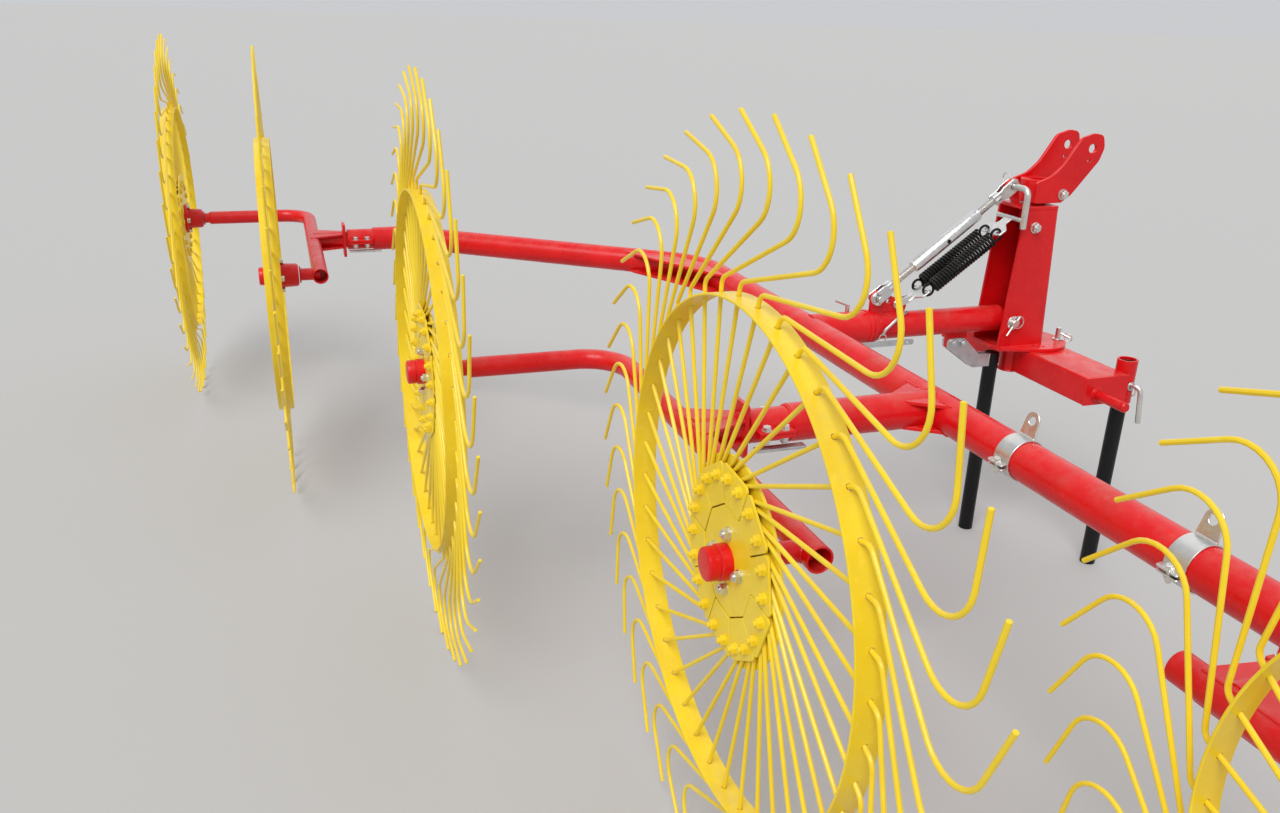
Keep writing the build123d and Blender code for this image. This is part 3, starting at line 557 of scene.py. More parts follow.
# %% Plating
PLATED_EDGE = 0.0012
POLISH = 1.15
PLATED_UNEVEN = (-0.08, 0.12)
SCRATCH_HEIGHT = 0.0008
BLOOM = 30
STREAKS = 90
SCRATCHES = 300


def plating(name, colour, bloom, gloss, bump=0.1):
    """Plated metal: cloudy bloom and fine scratches."""
    look, tree, shader, place = finish_nodes(name)
    cloud = spread(tree, noise(tree, place, BLOOM, 5), 0, 1)
    colours = blend_colours(tree, cloud, colour, bloom)
    polished = tuple(min(1, POLISH * c) for c in bloom)
    colours = blend_colours(tree, worn_edge(tree, PLATED_EDGE), colours, polished)
    tree.links.new(colours, shader.inputs["Base Color"])
    smoother, rougher = PLATED_UNEVEN
    streak = spread(tree, noise(tree, place, STREAKS, 6), gloss + smoother, gloss + rougher)
    tree.links.new(streak, shader.inputs["Roughness"])
    shader.inputs["Metallic"].default_value = 1
    bumped(tree, shader, noise(tree, place, SCRATCHES, 4), bump, SCRATCH_HEIGHT)
    return look


zinc = plating("zinc", (0.66, 0.67, 0.68), (0.78, 0.77, 0.72), gloss=0.33)
galvanised = plating("galvanised", (0.5, 0.52, 0.54), (0.66, 0.67, 0.68), gloss=0.5, bump=0.2)
print("platings", zinc.name, galvanised.name)

# %% [markdown]
# A finger wheel. Each hairpin is one round spring wire: it goes round its own bolt on the disc, both
# legs run nearly tangent to the bolt circle out through the pierced band, bend back, run down, and
# end in a wide hook. The whole wire is one path in the wheel's plane with a circle carried along it,
# so the hooks are true arcs.

# %% Sizes of a finger wheel
WHEELS = (1, 2, 3, 4, 5)
PAIRS = 20
FINGERS = 2 * PAIRS
STEP = FULL / FINGERS
WIRE = 0.00375
RIM = 0.4285
RIM_THICK = 0.004
RIM_HALF = 0.023
DISC = 0.175
BOLTS_AT = 0.14
BOLT_LEAD = np.radians(41)
LOOP = 0.0083
LOOP_BEND = LOOP * 0.98
SPOKE_SLANT = np.radians(16)
KNEE = 0.025
KNEE_TURN = np.radians(-62)
KNEE_BEND = 0.02
STRAIGHT = 0.228
HOOK = 0.058
HOOK_TURN = np.radians(116)
POINT = 0.096


def polar(angle, radius=1.0):
    """Point in the wheel's plane: x to +X, y up."""
    return np.array([radius * np.cos(angle), radius * np.sin(angle)])


def finger(angle):
    """Corners of one finger from the band out, turned by an angle: knee, corner of the hook, point."""
    first = polar(-SPOKE_SLANT)
    second = polar(-SPOKE_SLANT + KNEE_TURN)
    third = polar(-SPOKE_SLANT + KNEE_TURN + HOOK_TURN)
    reach = HOOK * np.tan(HOOK_TURN / 2)
    knee = np.array([RIM, 0]) + first * KNEE
    corner = knee + second * (STRAIGHT + reach)
    points = np.array([knee, corner, corner + third * (POINT + reach)])
    c, s = polar(angle)
    return points @ np.array([[c, s], [-s, c]])


def hairpin_path():
    """From one point round the hook and knee, in along the leg, round the bolt and out again."""
    bolt_at = polar(BOLT_LEAD, BOLTS_AT)
    along = unit(np.array([RIM, 0]) - bolt_at)
    side = np.array([-along[1], along[0]])
    behind = bolt_at - along * LOOP
    upper = finger(STEP / 2)
    lower = finger(-STEP / 2)
    corners = [*upper[::-1], behind + side * LOOP, behind - side * LOOP, *lower]
    return fillet(corners, [HOOK, KNEE_BEND, LOOP_BEND, LOOP_BEND, KNEE_BEND, HOOK], 14)


def on_wheel(points, depth=0.0):
    """Wheel plane to the wheel's own space: depth goes to -Y, the side of the cap."""
    points = np.asarray(points, float)
    return np.stack([points[..., 0], np.full(points.shape[:-1], -depth), points[..., 1]], -1)


def spun(shape, count, first=0.0):
    """The shape repeated round the wheel's axis, by rows of x cos - z sin and x sin + z cos."""
    points, faces = shape
    x, y, z = points.T
    copies = []
    for angle in first + np.arange(count) * FULL / count:
        c, s = polar(angle)
        copies.append((np.stack([x * c - z * s, y, x * s + z * c], -1), faces))
    return copies


hairpin = bar(on_wheel(hairpin_path()), WIRE, Y, sides=8, lip=0.0008)
print("points in one wheel's wire", PAIRS * len(hairpin[0]))

# %% [markdown]
# The band is a strip bent to a circle, pierced where each wire goes through. One cell of it is a
# surface of two parameters: going round, and from the cell's straight edge to the hole's circle.
# Forty cells make the band, and a small rolled edge joins its two faces.

# %% Band with forty holes
CELL_SIDE = 6
CELL_ROWS = 4
GATHER = 0.7
HOLE = WIRE + 0.0009
BAND_LIP = 0.0008
BAND_ROLL = 0.0012
BAND_OUT = RIM + RIM_THICK / 2
BAND_IN = RIM - RIM_THICK / 2


def on_band(radius, angle, along):
    """Point of a cylinder: angle round the wheel's axis, along it."""
    return np.stack([radius * np.cos(angle), along + 0 * angle, radius * np.sin(angle)], -1)


def cell(radius, shift):
    """Rows from the cell's edge to the hole, blended in a straight line and laid on the cylinder."""
    t = np.linspace(-1, 1, CELL_SIDE, endpoint=False)
    one = np.ones_like(t)
    edge = np.concatenate([np.stack(side, -1) for side in ((t, -one), (one, t), (-t, one), (-one, -t))])
    outer = edge * [STEP / 2, RIM_HALF - BAND_LIP]
    a = np.arctan2(edge[:, 1] * RIM_HALF, edge[:, 0] * STEP / 2 * radius)
    hole = np.stack([np.cos(a) * HOLE / np.cos(SPOKE_SLANT) / radius + shift, np.sin(a) * HOLE], -1)
    share = np.linspace(0, 1, CELL_ROWS)[:, None, None] ** GATHER
    rows = outer * (1 - share) + hole * share
    return on_band(radius, rows[..., 0], rows[..., 1])


lean = RIM_THICK / 2 * np.tan(SPOKE_SLANT) / RIM
cell_shape = skin(np.concatenate([cell(BAND_OUT, -lean), cell(BAND_IN, lean)[::-1]]), False, False)
lip_angles = (np.arange(FINGERS * CELL_SIDE) / CELL_SIDE * 2 - 1) * STEP / 2
lip_section = np.array([(BAND_OUT, RIM_HALF - BAND_LIP), (BAND_OUT - BAND_ROLL, RIM_HALF),
                        (BAND_IN + BAND_ROLL, RIM_HALF), (BAND_IN, RIM_HALF - BAND_LIP)])
lips = [skin(on_band(lip_section[:, :1], lip_angles, end * lip_section[:, 1:]), False, False)
        for end in SIDES]
band = spun(join([*spun(cell_shape, FINGERS), *lips]), 1, STEP / 2)[0]
print("points in one band", len(band[0]))

# %% [markdown]
# On the real wheel ten clamp segments press the wire loops onto a disc, with two bolts in each, and a
# centre plate fills the middle. Their thin dark joints come from small gaps, left between plates
# with chamfers.

# %% Bolts and nuts
# (across flats, height, washer's thickness, stud's end above it)
CLAMP_NUT = (0.0165, 0.007, 0.0016, 0.005)
CLAMP_HEAD = (0.0165, 0.0065, 0.001, 0)
HUB_NUT = (0.017, 0.009, 0.002, 0.004)
HUB_HEAD = (0.016, 0.009, 0.002, 0)
JOINT_HEAD = (0.017, 0.009, 0.002, 0)
JOINT_NUT = (0.017, 0.011, 0.002, 0.004)


def bolt(at, way, size):
    """Hexagon head or nut on a washer, its corners cut by 14% over 16% of its height, and a stud's
    end above it, with a short taper."""
    flats, height, washer, stud = size
    washer_radius = flats * 0.66
    corner = flats / np.sqrt(3)
    top = washer + height
    shapes = [turned([(0, 0), (washer_radius, 0), (washer_radius, washer), (0, washer)], at, way, 16),
              turned([(0, washer), (corner, washer), (corner, top - height * 0.16),
                      (corner * 0.86, top), (0, top)], at, way, 6)]
    if stud:
        shapes.append(turned([(0, top), (flats * 0.31, top), (flats * 0.31, top + stud * 0.8),
                              (flats * 0.25, top + stud), (0, top + stud)], at, way, 12))
    return join(shapes)


# %% Disc, clamps and centre plate
CLAMPS = 10
CLAMP_IN = 0.09
CLAMP_OUT = 0.158
CLAMP_GAP = 0.0011
CLAMP_CORNERS = [0.001, 0.009, 0.009, 0.001]
CLAMP_THICK = 0.004
CLAMP_EDGE = 0.0007
DISC_THICK = 0.005
CENTRE_PROUD = 0.0028
front = WIRE + CLAMP_THICK
back = WIRE + DISC_THICK
face = WIRE + CENTRE_PROUD
disc = drum(DISC, -back, -WIRE, (0, 0, 0), -Y, 80, 0.001)
half_in = CLAMP_IN * np.tan(np.pi / CLAMPS) - CLAMP_GAP
half_out = CLAMP_OUT * np.tan(np.pi / CLAMPS) - CLAMP_GAP
clamp = round_outline([(CLAMP_IN + CLAMP_GAP, -half_in), (CLAMP_OUT, -half_out), (CLAMP_OUT, half_out),
                       (CLAMP_IN + CLAMP_GAP, half_in)], CLAMP_CORNERS)
segment = plate(clamp, [], (0, -WIRE, 0), X, Z, CLAMP_THICK, CLAMP_EDGE)
centre_reach = (CLAMP_IN - CLAMP_GAP) / np.cos(np.pi / CLAMPS)
corners = [polar(BOLT_LEAD - STEP + i * 4 * STEP, centre_reach) for i in range(CLAMPS)]
centre_outline = round_outline(corners, [0.001] * CLAMPS)
centre_plate = plate(centre_outline, [], (0, WIRE / 2, 0), X, Z, WIRE / 2 + face, CLAMP_EDGE)
nuts_at = on_wheel([polar(BOLT_LEAD + i * 2 * STEP, BOLTS_AT) for i in range(PAIRS)], front)
clamp_nuts = [bolt(p, -Y, CLAMP_NUT) for p in nuts_at]
clamp_heads = [bolt(p + [0, front + back, 0], Y, CLAMP_HEAD) for p in nuts_at]
plates = [disc, centre_plate, *spun(segment, CLAMPS, BOLT_LEAD + STEP), *clamp_nuts, *clamp_heads]
print("plates and bolts on one disc", len(plates))

# %% Hub
QUARTERS = np.radians([0, 90, 180, 270])
HUB_NUTS_AT = 0.05
HUB_HEADS_AT = 0.047
FLANGE_BACK = 0.0095
GROOVE_SHARE = 0.48


def wheel_hub(cap_end, housing_end):
    """Dust cap in front with one groove and a domed face; flange and bearing housing behind. The
    rows are (radius, along)."""
    long = cap_end - face
    groove = long * GROOVE_SHARE
    cap = [(0, 0), (0.0295, 0), (0.0305, 0.0015), (0.0305, groove - 0.0022), (0.0296, groove - 0.0012),
           (0.0272, groove), (0.0272, groove + 0.0012), (0.0286, groove + 0.0026), (0.0284, long - 0.0045),
           (0.0277, long - 0.0022), (0.026, long - 0.0008), (0.023, long), (0, long)]
    deep = housing_end - back
    housing = [(0, 0), (0.055, 0), (0.056, 0.001), (0.056, 0.008), (0.0545, FLANGE_BACK), (0.041, 0.0105),
               (0.0385, 0.014), (0.0375, deep * 0.55), (0.0365, deep - 0.006), (0.034, deep - 0.002),
               (0.0325, deep), (0, deep)]
    return [turned(cap, (0, -face, 0), -Y, 48), turned(housing, (0, back, 0), Y, 48)]


def bolt_ring(radius, y, way, size):
    """Four bolts round the wheel's axis."""
    return [bolt((radius * np.cos(t), y, radius * np.sin(t)), way, size) for t in QUARTERS]


hub_bolts = [*bolt_ring(HUB_NUTS_AT, -face, -Y, HUB_NUT),
             *bolt_ring(HUB_HEADS_AT, back + FLANGE_BACK, Y, HUB_HEAD)]

# %% Five wheels
for k in WHEELS:
    at = middle(f"wheel_{k}_rim")
    hub_low, hub_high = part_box(f"wheel_{k}_hub")
    hub = wheel_hub(at[1] - hub_low[1], hub_high[1] - at[1])
    # (piece, its shapes, finish, slot, nodes that it stands for)
    for name, shapes, finish, slot, nodes in (
            ("tines", spun(hairpin, PAIRS), yellow, "yellow_paint", ["fingers"]),
            ("band", [band], yellow, "yellow_paint", ["rim"]),
            ("plates", plates, yellow, "yellow_paint", ["disc"]),
            ("hub_turned", hub, red, "red_paint", ["hub"]),
            ("hub_bolts", hub_bolts, zinc, "zinc", [])):
        piece(f"wheel_{k}_{name}", [moved(s, at) for s in shapes], finish, f"wheel_{k}", slot,
              [f"wheel_{k}_{node}" for node in nodes])

# %% [markdown]
# More helpers for the red steelwork. A weld is a small circle carried along the line where two pieces
# meet, and it swells and shrinks a little, as the torch moves on in steps. Where two tubes meet, that
# line is a saddle curve.

# %% Welds and rings
RIPPLE = 0.12
RIPPLE_LONG = 2.4
WELD_STEP = 0.003


def weld(path, size, away, closed=False):
    """Bead along a path: at length s its radius is size (1 + 0.12 sin(2 pi n s / total)), with n whole
    ripples."""
    path = np.asarray(path, float)
    if closed:
        path = np.concatenate([path, path[:1]])
    s = np.concatenate([[0], np.cumsum(np.linalg.norm(np.diff(path, axis=0), axis=-1))])
    ripples = max(1, round(s[-1] / (size * RIPPLE_LONG)))
    radii = size * (1 + RIPPLE * np.sin(FULL * ripples * s / s[-1]))
    ways = headings(path)
    if closed:
        ways[0] = ways[-1] = unit(ways[0] + ways[-1])
    side = unit(np.cross(ways, away))
    other = np.cross(ways, side)
    a = round_angles(6)[None, :, None]
    rings = path[:, None] + radii[:, None, None] * (np.cos(a) * side[:, None] + np.sin(a) * other[:, None])
    return skin(rings, not closed, not closed)


def seam(start, end, size, away=Z):
    """Straight weld between two points."""
    start = np.asarray(start, float)
    end = np.asarray(end, float)
    count = max(2, int(np.linalg.norm(end - start) / WELD_STEP))
    return weld(start + (end - start) * np.linspace(0, 1, count)[:, None], size, away)


def ring_weld(centre, way, radius, size):
    """Weld round a circle square to way."""
    a = round_angles(60)[:, None]
    first = across(way)
    circle = np.asarray(centre, float) + radius * (np.cos(a) * first + np.sin(a) * np.cross(way, first))
    return weld(circle, size, way, True)


def saddle_weld(centre, way, small, large, size, sides=72):
    """Weld where a tube of radius small along way meets one of radius large along X: at angle a the
    point is small (cos a e + sin a X) + way sqrt(large^2 - small^2 cos^2 a), with e square to both."""
    a = round_angles(sides)[:, None]
    e = np.cross(way, X)
    high = np.sqrt(np.maximum(large ** 2 - (small * np.cos(a)) ** 2, 0))
    line = np.asarray(centre, float) + small * (np.cos(a) * e + np.sin(a) * X) + high * way
    return weld(line, size, Y, True)


def linked(centre, first, second, radius, wire):
    """Closed wire ring in the plane of two directions."""
    a = np.linspace(0, FULL, 29)[:, None]
    path = np.asarray(centre, float) + radius * (np.cos(a) * first + np.sin(a) * second)
    ways = -np.sin(a) * first + np.cos(a) * second
    return skin(rings_at(path, ways, np.cross(first, second), wire, 8), False, False)


# %% [markdown]
# Each pair of wheels hangs on a crank: one thick tube bent at one end, so that the two wheels run one
# behind the other, and a shaft in the middle that rocks in the beam as the wheels follow the ground.
# A flange plate and two flat fins stiffen the shaft. The tube is a circle carried along a path with a
# true bend, and its open end is cut square, as the real one is.

# %% Sizes that follow from the frame
HEAD_FROM_PIN = (0, 0.122, -0.085)
ARM_LONG = 0.635
PIN = middle("arm_hinge_pin")
HEAD = PIN + HEAD_FROM_PIN
LEVEL = PIN[2]
BEAM_Y = PIN[1] - ARM_LONG
BEAM = 0.042
PITCH = 1.06
SHAFT = 0.03
SHAFT_IN = 0.15
BEARING = 0.037
BEARING_LONG = 0.095
TUBE_SIDES = 44
print("hinge pin at", PIN.round(4), "crossbar's top at", HEAD.round(4))

# %% Cranks
CRANK_TUBE = 0.025
CRANK_BEND = 0.11
CRANK_AHEAD = 0.14
CRANK_PAST_WHEEL = 0.04
CRANK_PAST_SHAFT = 0.09
CRANK_LIP = 0.0012
MOUTH_DEEP = 0.05
TUBE_FROM_DISC = 0.1
NECK = 0.0195
NECK_GAP = 0.002
NECK_COLLAR = 0.027
NECK_COLLAR_LONG = 0.005
NECK_WELD = 0.0022
FLANGE_HALF = (0.035, 0.06)
FLANGE_THICK = 0.01
FLANGE_GAP = 0.006
FIN_HALF = (0.08, 0.034)
FIN_FREE = 0.05
FIN_FRONT = -0.008
FIN_LOW = 0.0195
FIN_THICK = 0.007
FIN_INTO_FLANGE = 0.001
# (number, wheel on the bent end or None, wheel on the straight end)
CRANKS = ((1, 1, 2), (2, 3, 4), (3, None, 5))


def at_level(x, y):
    """Point at the height of the axles."""
    return np.array([x, y, LEVEL])


def neck(number, x, tube_y):
    """Spindle from a wheel's hub to the crank's tube, with a collar against the hub."""
    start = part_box(f"wheel_{number}_hub")[1][1] + NECK_GAP
    ring = collar(NECK - 0.001, NECK_COLLAR, start, start + NECK_COLLAR_LONG, at_level(x, 0), Y, 40)
    return [rod(at_level(x, start), at_level(x, tube_y), NECK, 32), ring]


def fins(x, y, flange_y, free):
    """Two fins from the tube at y to the flange, each with a weld along the tube and one along the
    flange. Their corner on one side reaches free from the shaft."""
    deep = flange_y - y + FIN_INTO_FLANGE
    outline = round_outline([(-free, FIN_FRONT), (FIN_HALF[0], FIN_FRONT), (FIN_HALF[1], deep),
                             (-FIN_HALF[1], deep)], [0.004] * 4)
    tube_seat = np.sqrt(CRANK_TUBE ** 2 - FIN_FRONT ** 2)
    shapes = []
    for side in SIDES:
        outer = side * (FIN_LOW + FIN_THICK)
        shapes.append(lying(outline, min(side * FIN_LOW, outer), FIN_THICK, at_level(x, y)))
        start = at_level(x - free + 0.003, y + FIN_FRONT) + Z * side * tube_seat
        end = at_level(x + FIN_HALF[0] - 0.003, y + FIN_FRONT) + Z * side * tube_seat
        shapes.append(seam(start, end, 0.0026))
        corner = X * FIN_HALF[1]
        seat = at_level(x, flange_y) + Z * outer
        shapes.append(seam(seat - corner, seat + corner, 0.0022))
    return shapes


mouths = {}
shafts = {}
for number, bent, open_end in CRANKS:
    near = middle(f"wheel_{open_end}_rim")
    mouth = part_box(f"crank_{number}")[1][1] - SHAFT_IN
    shaft_x = near[0] - PITCH / 2
    mouths[number] = mouth
    shafts[number] = shaft_x
    cross_y = near[1] + CRANK_AHEAD
    flange_y = mouth - FLANGE_GAP - FLANGE_THICK
    start = at_level(near[0] + CRANK_PAST_WHEEL, cross_y)
    shapes = neck(open_end, near[0], cross_y)
    shapes.append(saddle_weld(at_level(near[0], cross_y), -Y, NECK, CRANK_TUBE, NECK_WELD))
    if bent:
        far = middle(f"wheel_{bent}_rim")
        end = at_level(far[0], far[1] + TUBE_FROM_DISC)
        route = fillet([start, at_level(far[0], cross_y), end], [CRANK_BEND], 5)
        shapes.append(bar(route, CRANK_TUBE, Z, 36, CRANK_LIP, (MOUTH_DEEP, 0)))
        shapes.append(ring_weld(end, Y, NECK + 0.0006, NECK_WELD))
        shapes += neck(bent, far[0], end[1])
    else:
        route = [start, at_level(shaft_x - CRANK_PAST_SHAFT, cross_y)]
        shapes.append(bar(route, CRANK_TUBE, Z, 36, CRANK_LIP, (MOUTH_DEEP, MOUTH_DEEP)))
    shapes.append(rod(at_level(shaft_x, cross_y), at_level(shaft_x, mouth + SHAFT_IN), SHAFT, 40))
    shapes.append(ring_weld(at_level(shaft_x, flange_y), Y, SHAFT + 0.0005, 0.0028))
    shapes.append(saddle_weld(at_level(shaft_x, cross_y), Y, CRANK_TUBE, CRANK_TUBE, 0.003))
    wide, tall = FLANGE_HALF
    flange = box_outline((-tall, -wide), (tall, wide), 0.008)
    shapes.append(plate(flange, [], at_level(shaft_x, flange_y), Z, X, FLANGE_THICK, 0.001))
    shapes += fins(shaft_x, cross_y, flange_y, FIN_HALF[0] if bent else FIN_FREE)
    piece(f"crank_{number}_tubes", shapes, red, f"crank_{number}", "red_paint", [f"crank_{number}"])

# %% [markdown]
# The beam is a bent tube that carries everything behind the headstock. Three short tubes reach back
# from it and end in narrower bearings, each made of two halves with ears that are bolted together on
# both sides. Gusset plates fill the corners above and below. Its bend has a true radius, and every
# joint between tubes has its weld.

# %% Beam tubes
BEND_X = -0.888
BEAM_BEND = 0.25
BRANCH_BEND = 0.09
BRANCH_LONG = 0.222
BEAM_LIP = 0.0025
BORE_GAP = 0.0002
ROLL_SLEEVE = 0.047
ROLL_RING = 0.05
ROLL_RING_LONG = 0.012
beam_end, roll_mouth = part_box("beam")[1][:2]
arm_x = PIN[0]
bend_y = mouths[1] + BRANCH_LONG
route = fillet([at_level(beam_end, BEAM_Y), at_level(BEND_X, BEAM_Y), at_level(shafts[1], bend_y),
                at_level(shafts[1], mouths[1] + BEARING_LONG)], [BEAM_BEND, BRANCH_BEND], 5)
beam_shapes = [bar(route, BEAM, Z, TUBE_SIDES, BEAM_LIP)]
for number in mouths:
    seat = at_level(shafts[number], mouths[number])
    branch = seat + Y * BEARING_LONG
    beam_shapes.append(collar(SHAFT + BORE_GAP, BEARING, 0, BEARING_LONG, seat, Y, TUBE_SIDES, 0.0012))
    beam_shapes.append(ring_weld(branch, Y, BEARING + 0.0008, 0.003))
    if number > 1:
        joint = at_level(shafts[number], BEAM_Y)
        beam_shapes.append(bar([branch, joint], BEAM, Z, TUBE_SIDES, BEAM_LIP))
        beam_shapes.append(saddle_weld(joint, -Y, BEAM, BEAM, 0.0032, 120))
sleeve_long = roll_mouth - BEAM_Y
sleeve_from = at_level(arm_x, BEAM_Y)
beam_shapes += [
    collar(SHAFT + BORE_GAP, ROLL_SLEEVE, 0, sleeve_long, sleeve_from, Y, TUBE_SIDES, 0.0012),
    collar(SHAFT + 2 * BORE_GAP, ROLL_RING, sleeve_long - ROLL_RING_LONG, sleeve_long, sleeve_from, Y,
           TUBE_SIDES, 0.0015),
    saddle_weld(sleeve_from + Y * 0.002, Y, BEAM, BEAM, 0.005, 120),
]

# %% Bearing ears and latch bars
EAR_ACROSS = (0.033, 0.066)
EAR_ALONG = (0.006, 0.088)
EAR_LEVELS = (0.0005, -0.0075)
EAR_THICK = 0.007
EAR_FACE = 0.0075
EAR_BOLTS_AT = 0.053
EAR_BOLTS_ALONG = (0.026, 0.068)
LATCH_LEVEL = -0.037
LATCH_THICK = 0.006
latch = box_outline((0.041, 0.002), (0.064, 0.118), 0.003)
latches = []
bearing_bolts = []
for number in mouths:
    seat = at_level(shafts[number], mouths[number])
    latches.append(lying(latch, LATCH_LEVEL, LATCH_THICK, seat))
    for side in SIDES:
        from_x, to_x = sorted(side * x for x in EAR_ACROSS)
        ear = box_outline((from_x, EAR_ALONG[0]), (to_x, EAR_ALONG[1]), 0.003)
        beam_shapes += [lying(ear, low, EAR_THICK, seat) for low in EAR_LEVELS]
        for along in EAR_BOLTS_ALONG:
            spot = seat + [side * EAR_BOLTS_AT, along, 0]
            bearing_bolts.append(bolt(spot + Z * EAR_FACE, Z, JOINT_HEAD))
            bearing_bolts.append(bolt(spot - Z * EAR_FACE, -Z, JOINT_NUT))

# %% Gusset plates
GUSSET = 0.008
GUSSET_LOW = 0.026
GUSSET_WELD = 0.0026
GUSSET_REACH = 0.3
GUSSET_SHOULDER = (0.24, 0.05)
BEND_WELD = (0.055, 0.28)
TEE_WELD = (0.045, 0.09)
tee = round_outline([(0.1, 0), (0.029, -0.1), (-0.029, -0.1), (-0.1, 0)], [0.004] * 4)
bend = np.array([BEND_X, BEAM_Y])
along_beam = np.array([1.0, 0.0])
beam_inward = np.array([0.0, -1.0])
away = unit(np.array([shafts[1], bend_y]) - bend)
inward = np.array([-away[1], away[0]])
shoulder, shoulder_in = GUSSET_SHOULDER
corner = round_outline([bend, bend + along_beam * GUSSET_REACH,
                        bend + along_beam * shoulder + beam_inward * shoulder_in,
                        bend + away * shoulder + inward * shoulder_in,
                        bend + away * GUSSET_REACH], [0, 0.004, 0.012, 0.012, 0.004])
for side in SIDES:
    outer = side * (GUSSET_LOW + GUSSET)
    low = min(side * GUSSET_LOW, outer)
    aside = np.sqrt(BEAM ** 2 - outer ** 2)
    beam_shapes.append(lying(corner, low, GUSSET, (0, 0, LEVEL)))
    for way, square in ((along_beam, beam_inward), (away, inward)):
        start, end = (at_level(*(bend + way * reach + square * aside)) for reach in BEND_WELD)
        beam_shapes.append(seam(start + Z * outer, end + Z * outer, GUSSET_WELD))
    for number in (2, 3):
        joint = at_level(shafts[number], BEAM_Y)
        beam_shapes.append(lying(tee, low, GUSSET, joint))
        for hand in SIDES:
            start, end = (joint + [hand * reach, -aside, outer] for reach in TEE_WELD)
            beam_shapes.append(seam(start, end, GUSSET_WELD))
piece("beam_tubes", beam_shapes, red, "beam", "red_paint", ["beam"])
piece("bearing_bolts", bearing_bolts, zinc, "beam", "zinc")
piece("latch_bars", latches, galvanised, "beam", "zinc")

# %% [markdown]
# Two zinc strap clamps sit on the near half of the beam. Each is a flat strip bent round the tube,
# with its ends turned outward. The lower ends are drawn together by a bolt. The upper one is a long
# lug with a rounded end and a hole, as wide as the band, and takes a guard or a lamp.

# %% Strap clamps
STRAP = 0.046
STRAP_THICK = 0.0038
STRAPS_IN = (0.028, -0.012)
LUG_LEAN = np.radians(13)
LUG_REACH = BEAM + 0.0375
LUG_NOSE = 0.0195
LUG_HOLE = 0.009
LUG_THICK = 0.004
SECOND_END = (BEAM + 0.001, BEAM + 0.01)
EAR_DOWN = np.radians(8)
EAR_ENDS = (BEAM + 0.001, BEAM + 0.019)
EAR_APART = 0.0045
END_THICK = 0.0034
BOLT_REACH = BEAM + 0.0115
BOLT_HALF = 0.0062
BEND_ROD = 0.0036
STRAP_BOLT = 0.004
STRAP_HEAD = (0.013, 0.007, 0.0016, 0)
STRAP_NUT = (0.013, 0.007, 0.0016, 0.006)
half = STRAP / 2
lug_way = np.array([0, np.sin(LUG_LEAN), np.cos(LUG_LEAN)])
ear_way = np.array([0, -np.cos(EAR_DOWN), -np.sin(EAR_DOWN)])
lug_across = np.cross(X, lug_way)
ear_across = np.cross(X, ear_way)
lug = hull([(BEAM + 0.003, 0.001 - half, 0.001), (BEAM + 0.003, half - 0.001, 0.001),
            (LUG_REACH, 0, LUG_NOSE)])
second_end = box_outline((SECOND_END[0], 0.003 - half), (SECOND_END[1], half - 0.003))
ear = box_outline((EAR_ENDS[0], -half), (EAR_ENDS[1], half), 0.004)
strap_shapes = []
for corner, shift in zip(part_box("beam_straps"), STRAPS_IN):
    centre = at_level(corner[0] + shift, BEAM_Y)
    fold = centre + lug_way * (BEAM + STRAP_THICK - 0.0003)
    fold_half = X * (half - 0.0006)
    bolt_at = centre + ear_way * BOLT_REACH
    strap_shapes += [
        collar(BEAM + 0.0003, BEAM + STRAP_THICK, -half, half, centre, X, 56),
        plate(lug, [disk(LUG_REACH, 0, LUG_HOLE, 28)], centre - lug_across * LUG_THICK / 2, lug_way, -X,
              LUG_THICK),
        rod(fold - fold_half, fold + fold_half, BEND_ROD, 14),
        plate(second_end, [], centre - lug_across * 0.0056, lug_way, -X, END_THICK),
        rod(bolt_at - ear_across * BOLT_HALF, bolt_at + ear_across * BOLT_HALF, STRAP_BOLT, 14),
        bolt(bolt_at - ear_across * BOLT_HALF, -ear_across, STRAP_HEAD),
        bolt(bolt_at + ear_across * BOLT_HALF, ear_across, STRAP_NUT),
    ]
    for side in SIDES:
        ear_at = centre + ear_across * (side * EAR_APART - END_THICK / 2)
        strap_shapes.append(plate(ear, [], ear_at, ear_way, -X, END_THICK))
piece("straps", strap_shapes, zinc, "beam", "zinc", ["beam_straps"])

# %% [markdown]
# The arm is the tube between the headstock's mast and the beam. Its cross eye turns on the hinge pin,
# its other end on a collar turns in the beam's sleeve. On top a lug takes the turnbuckle and the
# spring hanger, and a lug below takes the rear leg's bracket with two bolts.

# %% Pairs on both sides of the middle plane


def twin_seams(at, x, ys, z, size):
    """Two straight welds along Y, x to each side of a point, from one y to another at height z."""
    return [seam(at + [side * x, ys[0], z], at + [side * x, ys[1], z], size) for side in SIDES]


def twin_bolts(at, x, y, z, size):
    """Two bolts that face outward, x to each side of a point."""
    return [bolt(at + [side * x, y, z], side * X, size) for side in SIDES]


# %% Arm
ARM = 0.038
ARM_FROM = 0.01
COLLAR_AT = 0.445
COLLAR_HALF = 0.006
NARROW_LONG = 0.012
ROLL_SHAFT_LONG = 0.092
EYE_HALF = 0.052
LUG_PLATE = 0.012
LUG_WELD_X = 0.0065
LUG_WELD_Z = 0.0375
